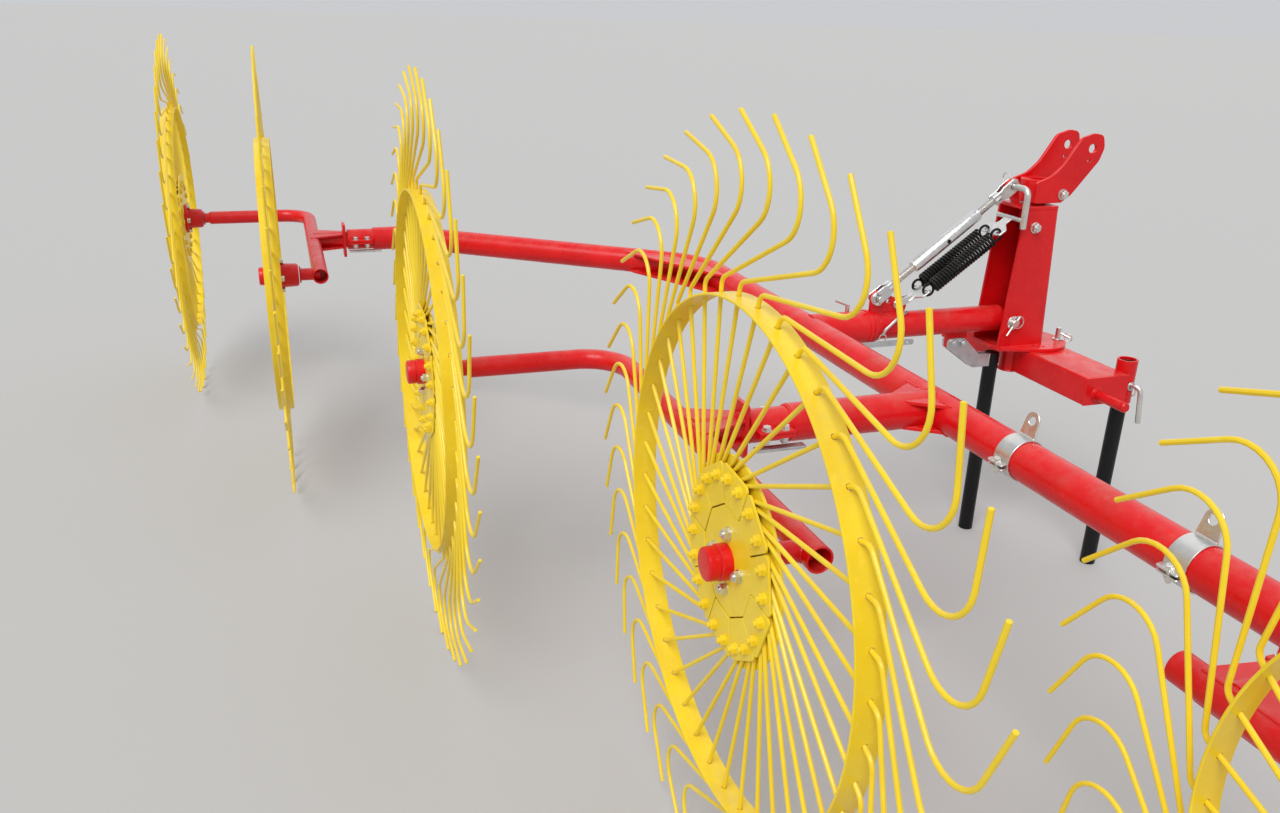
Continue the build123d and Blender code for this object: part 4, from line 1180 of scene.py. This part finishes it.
# Holes of the arm's two lugs: (y, z) from the hinge pin
TURNBUCKLE_HOLE = (-0.431, 0.085)
SPARE_HOLE = (-0.3945, 0.0735)
SPRING_HOLE = (-0.367, 0.064)
LEG_HOLE = (-0.164, -0.066)
LEG_STOP = (-0.132, -0.0675)
collar_edges = (-COLLAR_AT - COLLAR_HALF, -COLLAR_AT + COLLAR_HALF)
narrow_end = collar_edges[1] + NARROW_LONG
top_lug = hull([(*TURNBUCKLE_HOLE, 0.0195), (-0.35, 0.056, 0.016), (-0.447, 0.032, 0.003),
                (-0.344, 0.032, 0.003)])
top_lug_holes = [disk(*TURNBUCKLE_HOLE, 0.0108), disk(*SPARE_HOLE, 0.0068, 20),
                 disk(*SPRING_HOLE, 0.0068, 20)]
leg_lug = box_outline((-0.182, -0.081), (-0.112, -0.035), 0.005)
arm_shapes = [
    bar([PIN - Y * ARM_FROM, PIN - Y * COLLAR_AT], ARM, Z, TUBE_SIDES, 0.002),
    collar(0.0121, 0.022, -EYE_HALF, EYE_HALF, PIN, X, 40),
    collar(SHAFT, 0.047, *collar_edges, PIN, Y, 48, 0.0015),
    collar(SHAFT, 0.0425, collar_edges[1], narrow_end, PIN, Y, 48, 0.0015),
    ring_weld(PIN + Y * narrow_end, Y, ARM + 0.0008, 0.003),
    rod(PIN - Y * COLLAR_AT, PIN - Y * (COLLAR_AT + ROLL_SHAFT_LONG), SHAFT, 40),
    standing(top_lug, 0, LUG_PLATE, PIN, top_lug_holes, 0.001),
    standing(leg_lug, 0, LUG_PLATE, PIN, [disk(*LEG_HOLE, 0.0081, 20)], 0.001),
    *twin_seams(PIN, LUG_WELD_X, (-0.446, -0.344), LUG_WELD_Z, 0.0026),
    *twin_seams(PIN, LUG_WELD_X, (-0.181, -0.113), -LUG_WELD_Z, 0.0026),
]
piece("arm_tube", arm_shapes, red, "arm", "red_paint", ["arm"])

# %% [markdown]
# The headstock hooks to a tractor's three links. Its crossbar is a box section with end plates; a pin
# at each end takes a lower link. The post stands in the crossbar and carries the mast, and its collar
# holds two ears for the top link. The ears are cut from plate: broad where they're welded on, and
# leaning forward to a rounded nose.

# %% Crossbar, post and leg sleeve
BAR_HALF = 0.3415
BAR_DEEP = 0.0725
BAR_TALL = 0.08
BAR_WALL = 0.006
END_PLATE = 0.008
POST = np.array([0, -0.062, 0])
POST_TUBE = 0.03
POST_TALL = 0.494
POST_MOUTH = 0.09
POST_WALL = 0.005
POST_BORE = POST_TUBE + 0.0002
SLEEVE_FROM_HEAD = (0.3, 0.0955, 0)
SLEEVE = (0.0222, 0.028)
SLEEVE_SPAN = (-0.095, 0.032)
SLEEVE_WELD = 0.003
section = box_outline((-BAR_DEEP, -BAR_TALL), (BAR_DEEP, 0), 0.006)
bore = box_outline((-BAR_DEEP + BAR_WALL, -BAR_TALL + BAR_WALL), (BAR_DEEP - BAR_WALL, -BAR_WALL), 0.003)
post_foot = HEAD + POST - Z * BAR_TALL
sleeve_at = HEAD + SLEEVE_FROM_HEAD
head_shapes = [
    standing(section, 0, 2 * (BAR_HALF - END_PLATE), HEAD, [bore], 0.001),
    bar([post_foot, HEAD + POST + Z * POST_TALL], POST_TUBE, X, TUBE_SIDES, 0.0012, (0, POST_MOUTH),
        POST_WALL),
    ring_weld(post_foot, Z, 0.031, 0.003),
    collar(*SLEEVE, *SLEEVE_SPAN, sleeve_at, Z, TUBE_SIDES, 0.001),
]
for z in (-0.074, -0.006):
    left = sleeve_at + [-0.014, -0.0235, z]
    head_shapes.append(seam(left, left + X * 0.028, SLEEVE_WELD, Y))
for x in (-0.0225, 0.0225):
    foot = sleeve_at + [x, -0.0225, -0.078]
    head_shapes.append(seam(foot, foot + Z * 0.075, SLEEVE_WELD, X))
piece("crossbar", head_shapes, red, "headstock", "red_paint", ["headstock_crossbar"])

# %% End plates with the lower links' pins
LINK_PIN_AT = (-0.03, -0.05)
LINK_PIN = 0.0139
LINK_COLLAR = 0.019
LINK_COLLAR_LONG = 0.007
# (radius, along) of a link pin, with a groove for its linch pin and a tapered point
link_pin = [(0, -0.001), (LINK_PIN, -0.001), (LINK_PIN, 0.0945), (0.0125, 0.0955), (0.0125, 0.0975),
            (LINK_PIN, 0.0985), (LINK_PIN, 0.1065), (0.011, 0.11), (0, 0.11)]
end_plate = box_outline((-BAR_DEEP, -BAR_TALL), (BAR_DEEP, 0), 0.004)
link_shapes = []
for side in SIDES:
    seat = HEAD + [side * BAR_HALF, *LINK_PIN_AT]
    link_shapes += [
        standing(end_plate, side * (BAR_HALF - END_PLATE / 2), END_PLATE, HEAD, (), 0.0012),
        turned(link_pin, seat, side * X, 36),
        collar(LINK_PIN, LINK_COLLAR, 0, LINK_COLLAR_LONG, seat, side * X, 36),
        ring_weld(seat + X * side * 0.0005, X, LINK_COLLAR + 0.0005, 0.0025),
    ]
piece("link_pins", link_shapes, red, "headstock", "red_paint", ["lower_link_ends"])

# %% Top link's ears
EAR_AT = 0.051
EAR_PLATE = 0.01
TOP_COLLAR = 0.049
TOP_COLLAR_SPAN = (0.43, POST_TALL)
TOP_LINK_HOLE = (0.062, 0.583, 0.01285)
LATCH_HOLE = (0.056, 0.5485, 0.0045)
# Corners of an ear: (y, z, radius)
ear = rounded([(-0.109, 0.432, 0.004), (-0.018, 0.432, 0.012), (0.012, 0.452, 0.03), (0.092, 0.548, 0.03),
               (0.104, 0.585, 0.03), (0.094, 0.62, 0.018), (0.062, 0.625, 0.03), (0.02, 0.612, 0.03),
               (-0.03, 0.535, 0.09), (-0.066, 0.505, 0.05), (-0.109, 0.49, 0.004)])
ear_holes = [disk(*TOP_LINK_HOLE, 32), disk(*LATCH_HOLE, 16)]
top_shapes = [collar(POST_BORE, TOP_COLLAR, *TOP_COLLAR_SPAN, HEAD + POST, Z, 56, 0.0015)]
top_shapes += [standing(ear, side * EAR_AT, EAR_PLATE, HEAD, ear_holes, 0.0012) for side in SIDES]
for height in (0.4335, 0.4925):
    top_shapes += twin_seams(HEAD, 0.0455, (-0.092, -0.034), height, 0.0028)
piece("top_head", top_shapes, red, "headstock", "red_paint", ["top_link_head"])

# %% [markdown]
# The mast is a tapered channel, open at the back, on a round base plate that lies on the crossbar.
# The whole of it turns on the post and is locked by a pin through the base plate. It's folded from
# one sheet, so its front corners are round. The turnbuckle's lug stands on its top.

# %% Mast
MAST_HALF = 0.0625
MAST_PLATE = 0.008
MAST_EDGE = 0.001
FOLD = 0.014
FOOT = 0.0105
TOP = 0.424
CAP_PLATE = 0.01
BASE_GAP = 0.0005
BASE_WELD = 0.0032
LOCK_AT = (0.03, 0.078)
MAST_EYE = (-0.152, 0.475)


def channel_ring(height, front_y, back_y):
    """Section of the channel: from the front round the outer fold, along a wall's back edge and round
    the inner fold, and then the same mirrored."""
    t = np.linspace(0, np.pi / 2, 6)
    quarter = np.stack([np.cos(t), np.sin(t)], -1)
    fold_at = np.array([MAST_HALF - FOLD, front_y - FOLD])
    inner = MAST_HALF - MAST_PLATE
    back_edge = [(MAST_HALF, back_y + MAST_EDGE), (MAST_HALF - MAST_EDGE, back_y),
                 (inner + MAST_EDGE, back_y), (inner, back_y + MAST_EDGE)]
    half_ring = np.concatenate([fold_at + FOLD * quarter[::-1], back_edge,
                                fold_at + (FOLD - MAST_PLATE) * quarter])
    ring = np.concatenate([half_ring, half_ring[::-1] * [-1, 1]])
    return HEAD + np.column_stack([ring, np.full(len(ring), height)])


post_hole = disk(*POST[:2], POST_BORE, 48)
small_holes = [disk(x, y, 0.0045, 16) for x in (0.066, 0.084) for y in (-0.04, -0.018)]
base = hull([(0, -0.008, 0.11), (-0.0605, -0.161, 0.002), (0.0605, -0.161, 0.002)], 96)
mast_cap = rounded([(-MAST_HALF, -0.137, 0.002), (MAST_HALF, -0.137, 0.002), (MAST_HALF, -0.022, 0.012),
                    (-MAST_HALF, -0.022, 0.012)])
mast_lug = hull([(*MAST_EYE, 0.0195), (-0.134, 0.424, 0.001), (-0.118, 0.424, 0.001),
                 (-0.134, 0.42, 0.001)])
base_holes = [post_hole, *small_holes, disk(*LOCK_AT, 0.009)]
mast_shapes = [
    lying(base, BASE_GAP, FOOT - BASE_GAP, HEAD, base_holes, 0.0012),
    skin(np.array([channel_ring(FOOT - MAST_EDGE, 0, -0.163),
                   channel_ring(TOP - CAP_PLATE, -0.0215, -0.1376)])),
    lying(mast_cap, TOP - CAP_PLATE, CAP_PLATE, HEAD, [post_hole], 0.0012),
    collar(POST_BORE, 0.038, TOP - 0.06, TOP - 0.009, HEAD + POST, Z, 40),
    standing(mast_lug, 0, LUG_PLATE, HEAD, [disk(*MAST_EYE, 0.0096)], 0.001),
    *twin_seams(HEAD, MAST_HALF + 0.0005, (-0.158, -0.014), FOOT, BASE_WELD),
    *twin_seams(HEAD, LUG_WELD_X, (-0.134, -0.112), TOP, 0.0024),
    seam(HEAD + [-0.048, 0.0005, FOOT], HEAD + [0.048, 0.0005, FOOT], BASE_WELD),
]
piece("mast_channel", mast_shapes, red, "mast", "red_paint", ["mast"])

# %% [markdown]
# The turnbuckle holds the arm's height. Its barrel is a zinc tube with a cross hole for a bar to turn
# it, and a threaded rod goes into each end. The hole is not cut: two black discs paint the shade inside it.
# Two plates at each end straddle a lug; a bent pin goes through the upper pair. The threads are ridges
# on a turned part, at the real pitch.

# %% Threads, nuts and forks
PITCH_OF_THREAD = 0.0025
THREAD_DEEP = 0.0011
CHEEK_THICK = 0.006
CHEEK_GAP = 0.0071
CHEEK_HOLE = 0.0098


def thread(start, way, radius, length):
    """Threaded bar: ridges one pitch apart, each a thread's depth lower at its foot."""
    along = np.arange(0, length + PITCH_OF_THREAD / 4, PITCH_OF_THREAD / 2)
    wave = radius - THREAD_DEEP * (np.arange(len(along)) % 2)
    profile = [(0, 0), *np.stack([wave, along], -1), (0, along[-1])]
    return turned(profile, start, way, 24)


def rod_nut(centre, way, start, end):
    """Hexagon nut from start to end along its axis, each face tapered by 1 mm over 2 mm."""
    profile = [(0, start), (0.0155, start), (0.0165, start + 0.002), (0.0165, end - 0.002), (0.0155, end),
               (0, end)]
    return turned(profile, centre, way, 6, np.pi / 6)


def cheeks(centre, way, reach):
    """Two plates either side of a lug: round at the eye, with a step where the nut is welded between
    them. Each row of the lower half is (along, up, corner's radius)."""
    lower = [(-0.019, -0.0105, 0.008), (-0.0105, -0.019, 0.008), (0.03, -0.0185, 0.006),
             (0.04, -0.0145, 0.006), (reach, -0.0145, 0.003)]
    outline = rounded(lower + [(along, -up, radius) for along, up, radius in lower[::-1]])
    hole = disk(0, 0, CHEEK_HOLE, 28)
    return [plate(outline, [hole], centre + X * start, way, np.cross(X, way), CHEEK_THICK)
            for start in (CHEEK_GAP, -CHEEK_GAP - CHEEK_THICK)]


# %% Turnbuckle
TOP_EYE = PIN + [0, -0.03, 0.39]
LOW_EYE = PIN + [0, *TURNBUCKLE_HOLE]
BARREL = 0.018
BARREL_SPAN = (0.125, 0.368)
ROD = 0.0108
ROD_BORE = ROD + 0.0004
ROD_IN = 0.06
TOP_ROD_FROM = 0.05
TOP_ROD_LONG = 0.1
LOW_ROD_STOP = 0.036
HANGING_PIN = 0.0088
HANGING_REACH = (0.032, 0.0765, 0.11)
LOW_PIN = 0.0093
screw = unit(LOW_EYE - TOP_EYE)
screw_long = np.linalg.norm(LOW_EYE - TOP_EYE)
# (radius, distance in) of each end of the barrel
barrel_end = [(ROD_BORE, 0), (0.0155, 0), (0.0172, 0.002), (0.0172, 0.012), (BARREL, 0.015)]
barrel = [(radius, BARREL_SPAN[0] + inward) for radius, inward in barrel_end]
barrel += [(radius, BARREL_SPAN[1] - inward) for radius, inward in barrel_end[::-1]]
barrel += [(ROD_BORE, BARREL_SPAN[1] - ROD_IN), (ROD_BORE, BARREL_SPAN[0] + ROD_IN)]
pin_start, pin_corner, pin_down = HANGING_REACH
pin_bend = TOP_EYE + X * pin_corner
hanging = fillet([TOP_EYE - X * pin_start, pin_bend, pin_bend - Z * pin_down], [0.02])
turnbuckle_top = [
    turned_ring(barrel, TOP_EYE, screw, 40),
    thread(TOP_EYE + screw * TOP_ROD_FROM, screw, ROD, TOP_ROD_LONG),
    rod_nut(TOP_EYE, screw, 0.046, 0.068),
    *cheeks(TOP_EYE, screw, 0.071),
    bar(hanging, HANGING_PIN, Y, 20, 0.0012),
    linked(TOP_EYE + [-0.028, 0, 0.019], Z, X, 0.014, 0.0017),
]
piece("turnbuckle_top", turnbuckle_top, zinc, "turnbuckle", "zinc", ["turnbuckle_barrel"])
# Painted shade: the cross hole is not cut, and two black discs on the barrel stand for the shade inside it.
hole_at = TOP_EYE + screw * sum(BARREL_SPAN) / 2
hole_from = ROD + 0.001
hole_to = BARREL + 0.0001
hole_shade_discs = [rod(hole_at + X * side * hole_from, hole_at + X * side * hole_to, 0.0062, 24, 0.0001)
             for side in SIDES]
piece("barrel_hole_painted_shade", hole_shade_discs, black, "turnbuckle", "black_paint")
low_start = BARREL_SPAN[1] - ROD_IN
turnbuckle_low = [
    thread(TOP_EYE + screw * low_start, screw, ROD, screw_long - LOW_ROD_STOP - low_start),
    rod_nut(LOW_EYE - screw * 0.059, screw, 0, 0.02),
    *cheeks(LOW_EYE, -screw, 0.057),
    rod(LOW_EYE - X * 0.026, LOW_EYE + X * 0.028, LOW_PIN, 28),
    drum(0.0155, CHEEK_GAP + CHEEK_THICK, 0.018, LOW_EYE, -X, 24, 0.001),
    linked(LOW_EYE + [0.023, -0.014, 0.004], Y, Z, 0.0165, 0.0017),
    rod(LOW_EYE + [0.023, 0, -0.016], LOW_EYE + [0.023, 0, 0.02], 0.0024, 10),
]
piece("turnbuckle_low", turnbuckle_low, zinc, "turnbuckle_rod", "zinc", ["turnbuckle_rod"])

# %% [markdown]
# Two coil springs carry most of the arm's weight. They are wound close from black wire and hook into
# a zinc hanger at each end. The wire is a real helix, and the whole pair stretches between mast and
# arm.

# %% Springs
SPRING_TOP = PIN + [0, -0.07, 0.262]
SPRING_LOW = PIN + [0, -0.29, 0.1]
SPRING = 0.022
SPRING_WIRE = 0.0041
SPRING_TURNS = 23
SPRING_APART = 0.027
HOOK_DEEP = 0.028
HOOK_RING = (0.0165, 0.0038)
HOOK_RING_AT = 0.0105
TURN_STEPS = 18
coil_way = unit(SPRING_LOW - SPRING_TOP)
coil_up = np.cross(X, coil_way)
coil_long = np.linalg.norm(SPRING_LOW - SPRING_TOP)


def helix(start, way, radius, wire, length, turns):
    """Coil of wire. At angle t its middle is start + radius (cos t * a + sin t * b) + way * length *
    t / (2 pi * turns), where a and b are square to the way."""
    t = np.linspace(0, FULL * turns, turns * TURN_STEPS)[:, None]
    first = across(way)
    normal = np.cos(t) * first + np.sin(t) * np.cross(way, first)
    path = np.asarray(start, float) + radius * normal + way * length * t / (FULL * turns)
    a = round_angles(8)[None, :, None]
    other = np.cross(headings(path), normal)
    return skin(path[:, None] + wire * (np.cos(a) * normal[:, None] + np.sin(a) * other[:, None]))


spring_shapes = []
for side in SIDES:
    start = SPRING_TOP + X * side * SPRING_APART
    spring_shapes.append(helix(start + coil_way * HOOK_DEEP, coil_way, SPRING - SPRING_WIRE, SPRING_WIRE,
                               coil_long - 2 * HOOK_DEEP, SPRING_TURNS))
    for along in (HOOK_RING_AT, coil_long - HOOK_RING_AT):
        spring_shapes.append(linked(start + coil_way * along, coil_way, coil_up, *HOOK_RING))
piece("springs", spring_shapes, black, ("mast", "arm", tuple(SPRING_TOP), tuple(SPRING_LOW)), "black_paint",
      ["lift_springs"])

# %% Spring hangers
HANGER_THICK = 0.005
HANGER_BOLT = (0.017, 0.009, 0.002, 0.005)
CROSS_ROD = 0.007
CROSS_ROD_AT = 0.064
CROSS_ROD_HALF = 0.0545
CHEEK_PLATE = 0.004
CHEEK_INNER = 0.0068
hook_holes = [disk(side * SPRING_APART, 0, 0.0062, 20) for side in SIDES]
# Corners of each hanger: (across, along the springs, radius)
top_hanger = rounded([(-0.042, 0.012, 0.008), (0.042, 0.012, 0.008), (0.042, -0.018, 0.008),
                      (0.017, -0.036, 0.01), (0.017, -0.07, 0.003), (-0.017, -0.07, 0.003),
                      (-0.017, -0.036, 0.01), (-0.042, -0.018, 0.008)])
low_half = [(-0.042, -0.012, 0.008), (-0.042, 0.018, 0.008), (-0.014, 0.032, 0.01), (-0.014, 0.05, 0.002)]
low_hanger = rounded(low_half + [(-a, b, radius) for a, b, radius in low_half[::-1]])
half_up = coil_up * HANGER_THICK / 2
cross_rod_at = SPRING_TOP - coil_way * CROSS_ROD_AT
hanger_shapes = [
    plate(top_hanger, hook_holes, SPRING_TOP - half_up, X, coil_way, HANGER_THICK),
    rod(cross_rod_at - X * CROSS_ROD_HALF, cross_rod_at + X * CROSS_ROD_HALF, CROSS_ROD, 24),
    bolt(SPRING_TOP - coil_way * 0.03 + half_up, coil_up, HANGER_BOLT),
]
piece("top_hanger", hanger_shapes, zinc, "mast", "zinc")
joint_at = PIN + [0, *SPRING_HOLE]
offset = joint_at - SPRING_LOW
cheek = hull([(offset @ coil_way, offset @ coil_up, 0.0125), (0.022, 0, 0.004), (0.048, 0, 0.004)])
cheek_outer = CHEEK_INNER + CHEEK_PLATE
low_hanger_shapes = [plate(low_hanger, hook_holes, SPRING_LOW - half_up, X, coil_way, HANGER_THICK)]
low_hanger_shapes += [plate(cheek, [], SPRING_LOW + X * start, coil_way, coil_up, CHEEK_PLATE)
                      for start in (CHEEK_INNER, -cheek_outer)]
low_hanger_shapes.append(bolt(joint_at + X * cheek_outer, X, JOINT_HEAD))
low_hanger_shapes.append(bolt(joint_at - X * cheek_outer, -X, JOINT_NUT))
piece("low_hanger", low_hanger_shapes, zinc, "arm", "zinc")

# %% [markdown]
# The machine parks on two black legs besides its wheels. The front one slides in a sleeve on the
# crossbar and a bent pin holds it. The rear one hangs on two galvanised plates from the arm's lower
# lug and folds back.

# %% Parking legs
LEG = 0.0215
LEG_LIP = 0.0012
LEG_MOUTH = 0.06
LEG_WALL = 0.003
REAR_TOP = LEVEL - 0.108
REAR_FROM_PIN = 0.008
BRACKET_PLATE = 0.008
BRACKET_AT = 0.0105
LEG_BOLT = (0.019, 0.01, 0.0025, 0.004)
leg_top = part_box("parking_leg_front")[1][2]
front_foot = np.array([sleeve_at[0], sleeve_at[1], 0])
front_leg = bar([front_foot, front_foot + Z * leg_top], LEG, X, 40, LEG_LIP, (0, LEG_MOUTH), LEG_WALL)
piece("front_leg", [front_leg], black, "front_leg", "black_paint", ["parking_leg_front"])
rear_at = PIN - Y * REAR_FROM_PIN
rear_foot = np.array([rear_at[0], rear_at[1], 0])
rear_leg = bar([rear_foot, rear_foot + Z * REAR_TOP], LEG, X, 40, LEG_LIP)
piece("rear_leg", [rear_leg], black, "rear_leg", "black_paint", ["parking_leg_rear"])
# Corners of a bracket plate: (y, z, radius)
bracket = rounded([(-0.18, -0.052, 0.01), (-0.124, -0.052, 0.012), (-0.064, -0.108, 0.012),
                   (0.0065, -0.108, 0.004), (0.0065, -0.148, 0.004), (-0.084, -0.148, 0.02),
                   (-0.18, -0.08, 0.012)])
bracket_shapes = [standing(bracket, side * BRACKET_AT, BRACKET_PLATE, PIN) for side in SIDES]
for hole in (LEG_HOLE, LEG_STOP):
    bracket_shapes += twin_bolts(PIN, BRACKET_AT + BRACKET_PLATE / 2, *hole, LEG_BOLT)
for side in SIDES:
    edge = rear_at + [side * 0.0135, -0.0185, 0]
    bracket_shapes.append(seam(edge - Z * 0.109, edge - Z * 0.147, 0.0025, Y))
piece("rear_bracket", bracket_shapes, galvanised, "rear_leg", "zinc")

# %% [markdown]
# The small zinc pins, levers and bolts: the hinge pin with a linch pin through its end, the lock pin
# in the base plate, the leg sleeve's bent pin with its ring, the bolts of mast and ears, a bent
# handle and a flat bar beside the arm, and the pin in the beam's sleeve. They are working controls
# that stay where they are.

# %% Hinge pin
HINGE_HALF = 0.0785
HINGE = 0.0118
LINCH_X = 0.0725
linch_way = unit(np.array([0, 0.56, 0.83]))
hinge_shapes = [rod(PIN - X * HINGE_HALF, PIN + X * HINGE_HALF, HINGE, 32, 0.0015)]
hinge_shapes += [collar(HINGE, 0.0205, 0.0626, 0.0662, PIN, side * X, 36) for side in SIDES]
hinge_shapes.append(rod(PIN + [LINCH_X, 0.014, 0.02], PIN + [LINCH_X, -0.024, -0.036], 0.0035, 12))
hinge_shapes.append(linked(PIN + [LINCH_X, 0.01, 0.003], linch_way, np.cross(X, linch_way), 0.0185,
                           0.0016))
piece("hinge_pin", hinge_shapes, zinc, "mast", "zinc", ["arm_hinge_pin"])

# %% Mast's lock pin and bolts
MAST_BOLT = (0.024, 0.012, 0.003, 0.004)
lock = HEAD + [*LOCK_AT, 0]
mast_fittings = [
    rod(lock + Z * 0.0006, lock + Z * 0.048, 0.0085, 24, 0.0015),
    collar(0.0087, 0.0155, 0.0107, 0.0135, lock, Z, 28),
    rod(lock + [-0.004, -0.004, 0.036], lock + [0.03, 0.022, 0.02], 0.0036, 12),
    linked(lock + [0.024, 0.018, 0.022], unit(np.array([0.8, 0.6, -0.2])), Z, 0.012, 0.0015),
    *twin_bolts(HEAD, MAST_HALF, -0.1, 0.365, MAST_BOLT),
]
piece("mast_fittings", mast_fittings, zinc, "mast", "zinc")

# %% Sleeve's bent pin and the ears' bolts
TOP_BOLT = (0.024, 0.011, 0.003, 0.004)
BENT_PIN = 0.0075
pin_from = sleeve_at + [0.0262, 0, -0.04]
bent = fillet([pin_from, pin_from + [0.028, 0.012, 0.006], pin_from + [0.038, 0.016, -0.1]], [0.02])
bent_normal = unit(np.cross(bent[1] - bent[0], bent[-1] - bent[-2]))
head_fittings = [
    *twin_bolts(HEAD, EAR_AT + EAR_PLATE / 2, -0.018, 0.456, TOP_BOLT),
    bar(bent, BENT_PIN, bent_normal, 20, 0.0012),
    linked(pin_from + [0.006, 0.004, -0.014], X, Z, 0.0135, 0.0016),
    collar(BENT_PIN + 0.0002, 0.0125, 0, 0.0035, pin_from + X * 0.002, X, 24),
]
piece("head_fittings", head_fittings, zinc, "headstock", "zinc")

# %% Handle, flat bar and sleeve pin
HANDLE = 0.0045
HANDLE_LAP = 0.0004
SHORTEST_RUN = 1e-6
handle = fillet(PIN + [(0.014, -0.335, 0.041), (0.044, -0.385, 0.03), (0.05, -0.42, 0.005),
                       (0.046, -0.428, -0.012)], [0.02, 0.012], 15)
handle_shapes = [rod(one, other + unit(other - one) * HANDLE_LAP, HANDLE, 12, HANDLE_LAP)
                 for one, other in zip(handle, handle[1:]) if np.linalg.norm(other - one) > SHORTEST_RUN]
handle_shapes.append(linked(PIN + [0.047, -0.426, -0.022], Y, Z, 0.0115, 0.0016))
piece("arm_handle", handle_shapes, zinc, "arm", "zinc")
flat_bar = box_outline((-0.5, -0.008), (-0.325, 0.008), 0.006)
flat_bar_plate = plate(flat_bar, [disk(-0.345, 0, 0.004, 16)], PIN + [0.047, 0, -0.038], Y, Z, 0.005)
piece("arm_flat_bar", [flat_bar_plate], galvanised, "arm", "zinc")
sleeve_pin = PIN + [-0.02, -0.51, 0.043]
sleeve_pin_shapes = [rod(sleeve_pin, sleeve_pin + Z * 0.022, 0.006, 16),
                     rod(sleeve_pin + [0, 0.004, 0.018], sleeve_pin + [-0.01, -0.034, 0.032], 0.0042, 12)]
piece("sleeve_pin", sleeve_pin_shapes, zinc, "beam", "zinc")

# %% Finish
print("pieces", len(made), "triangles", sum(t for _, t in made))
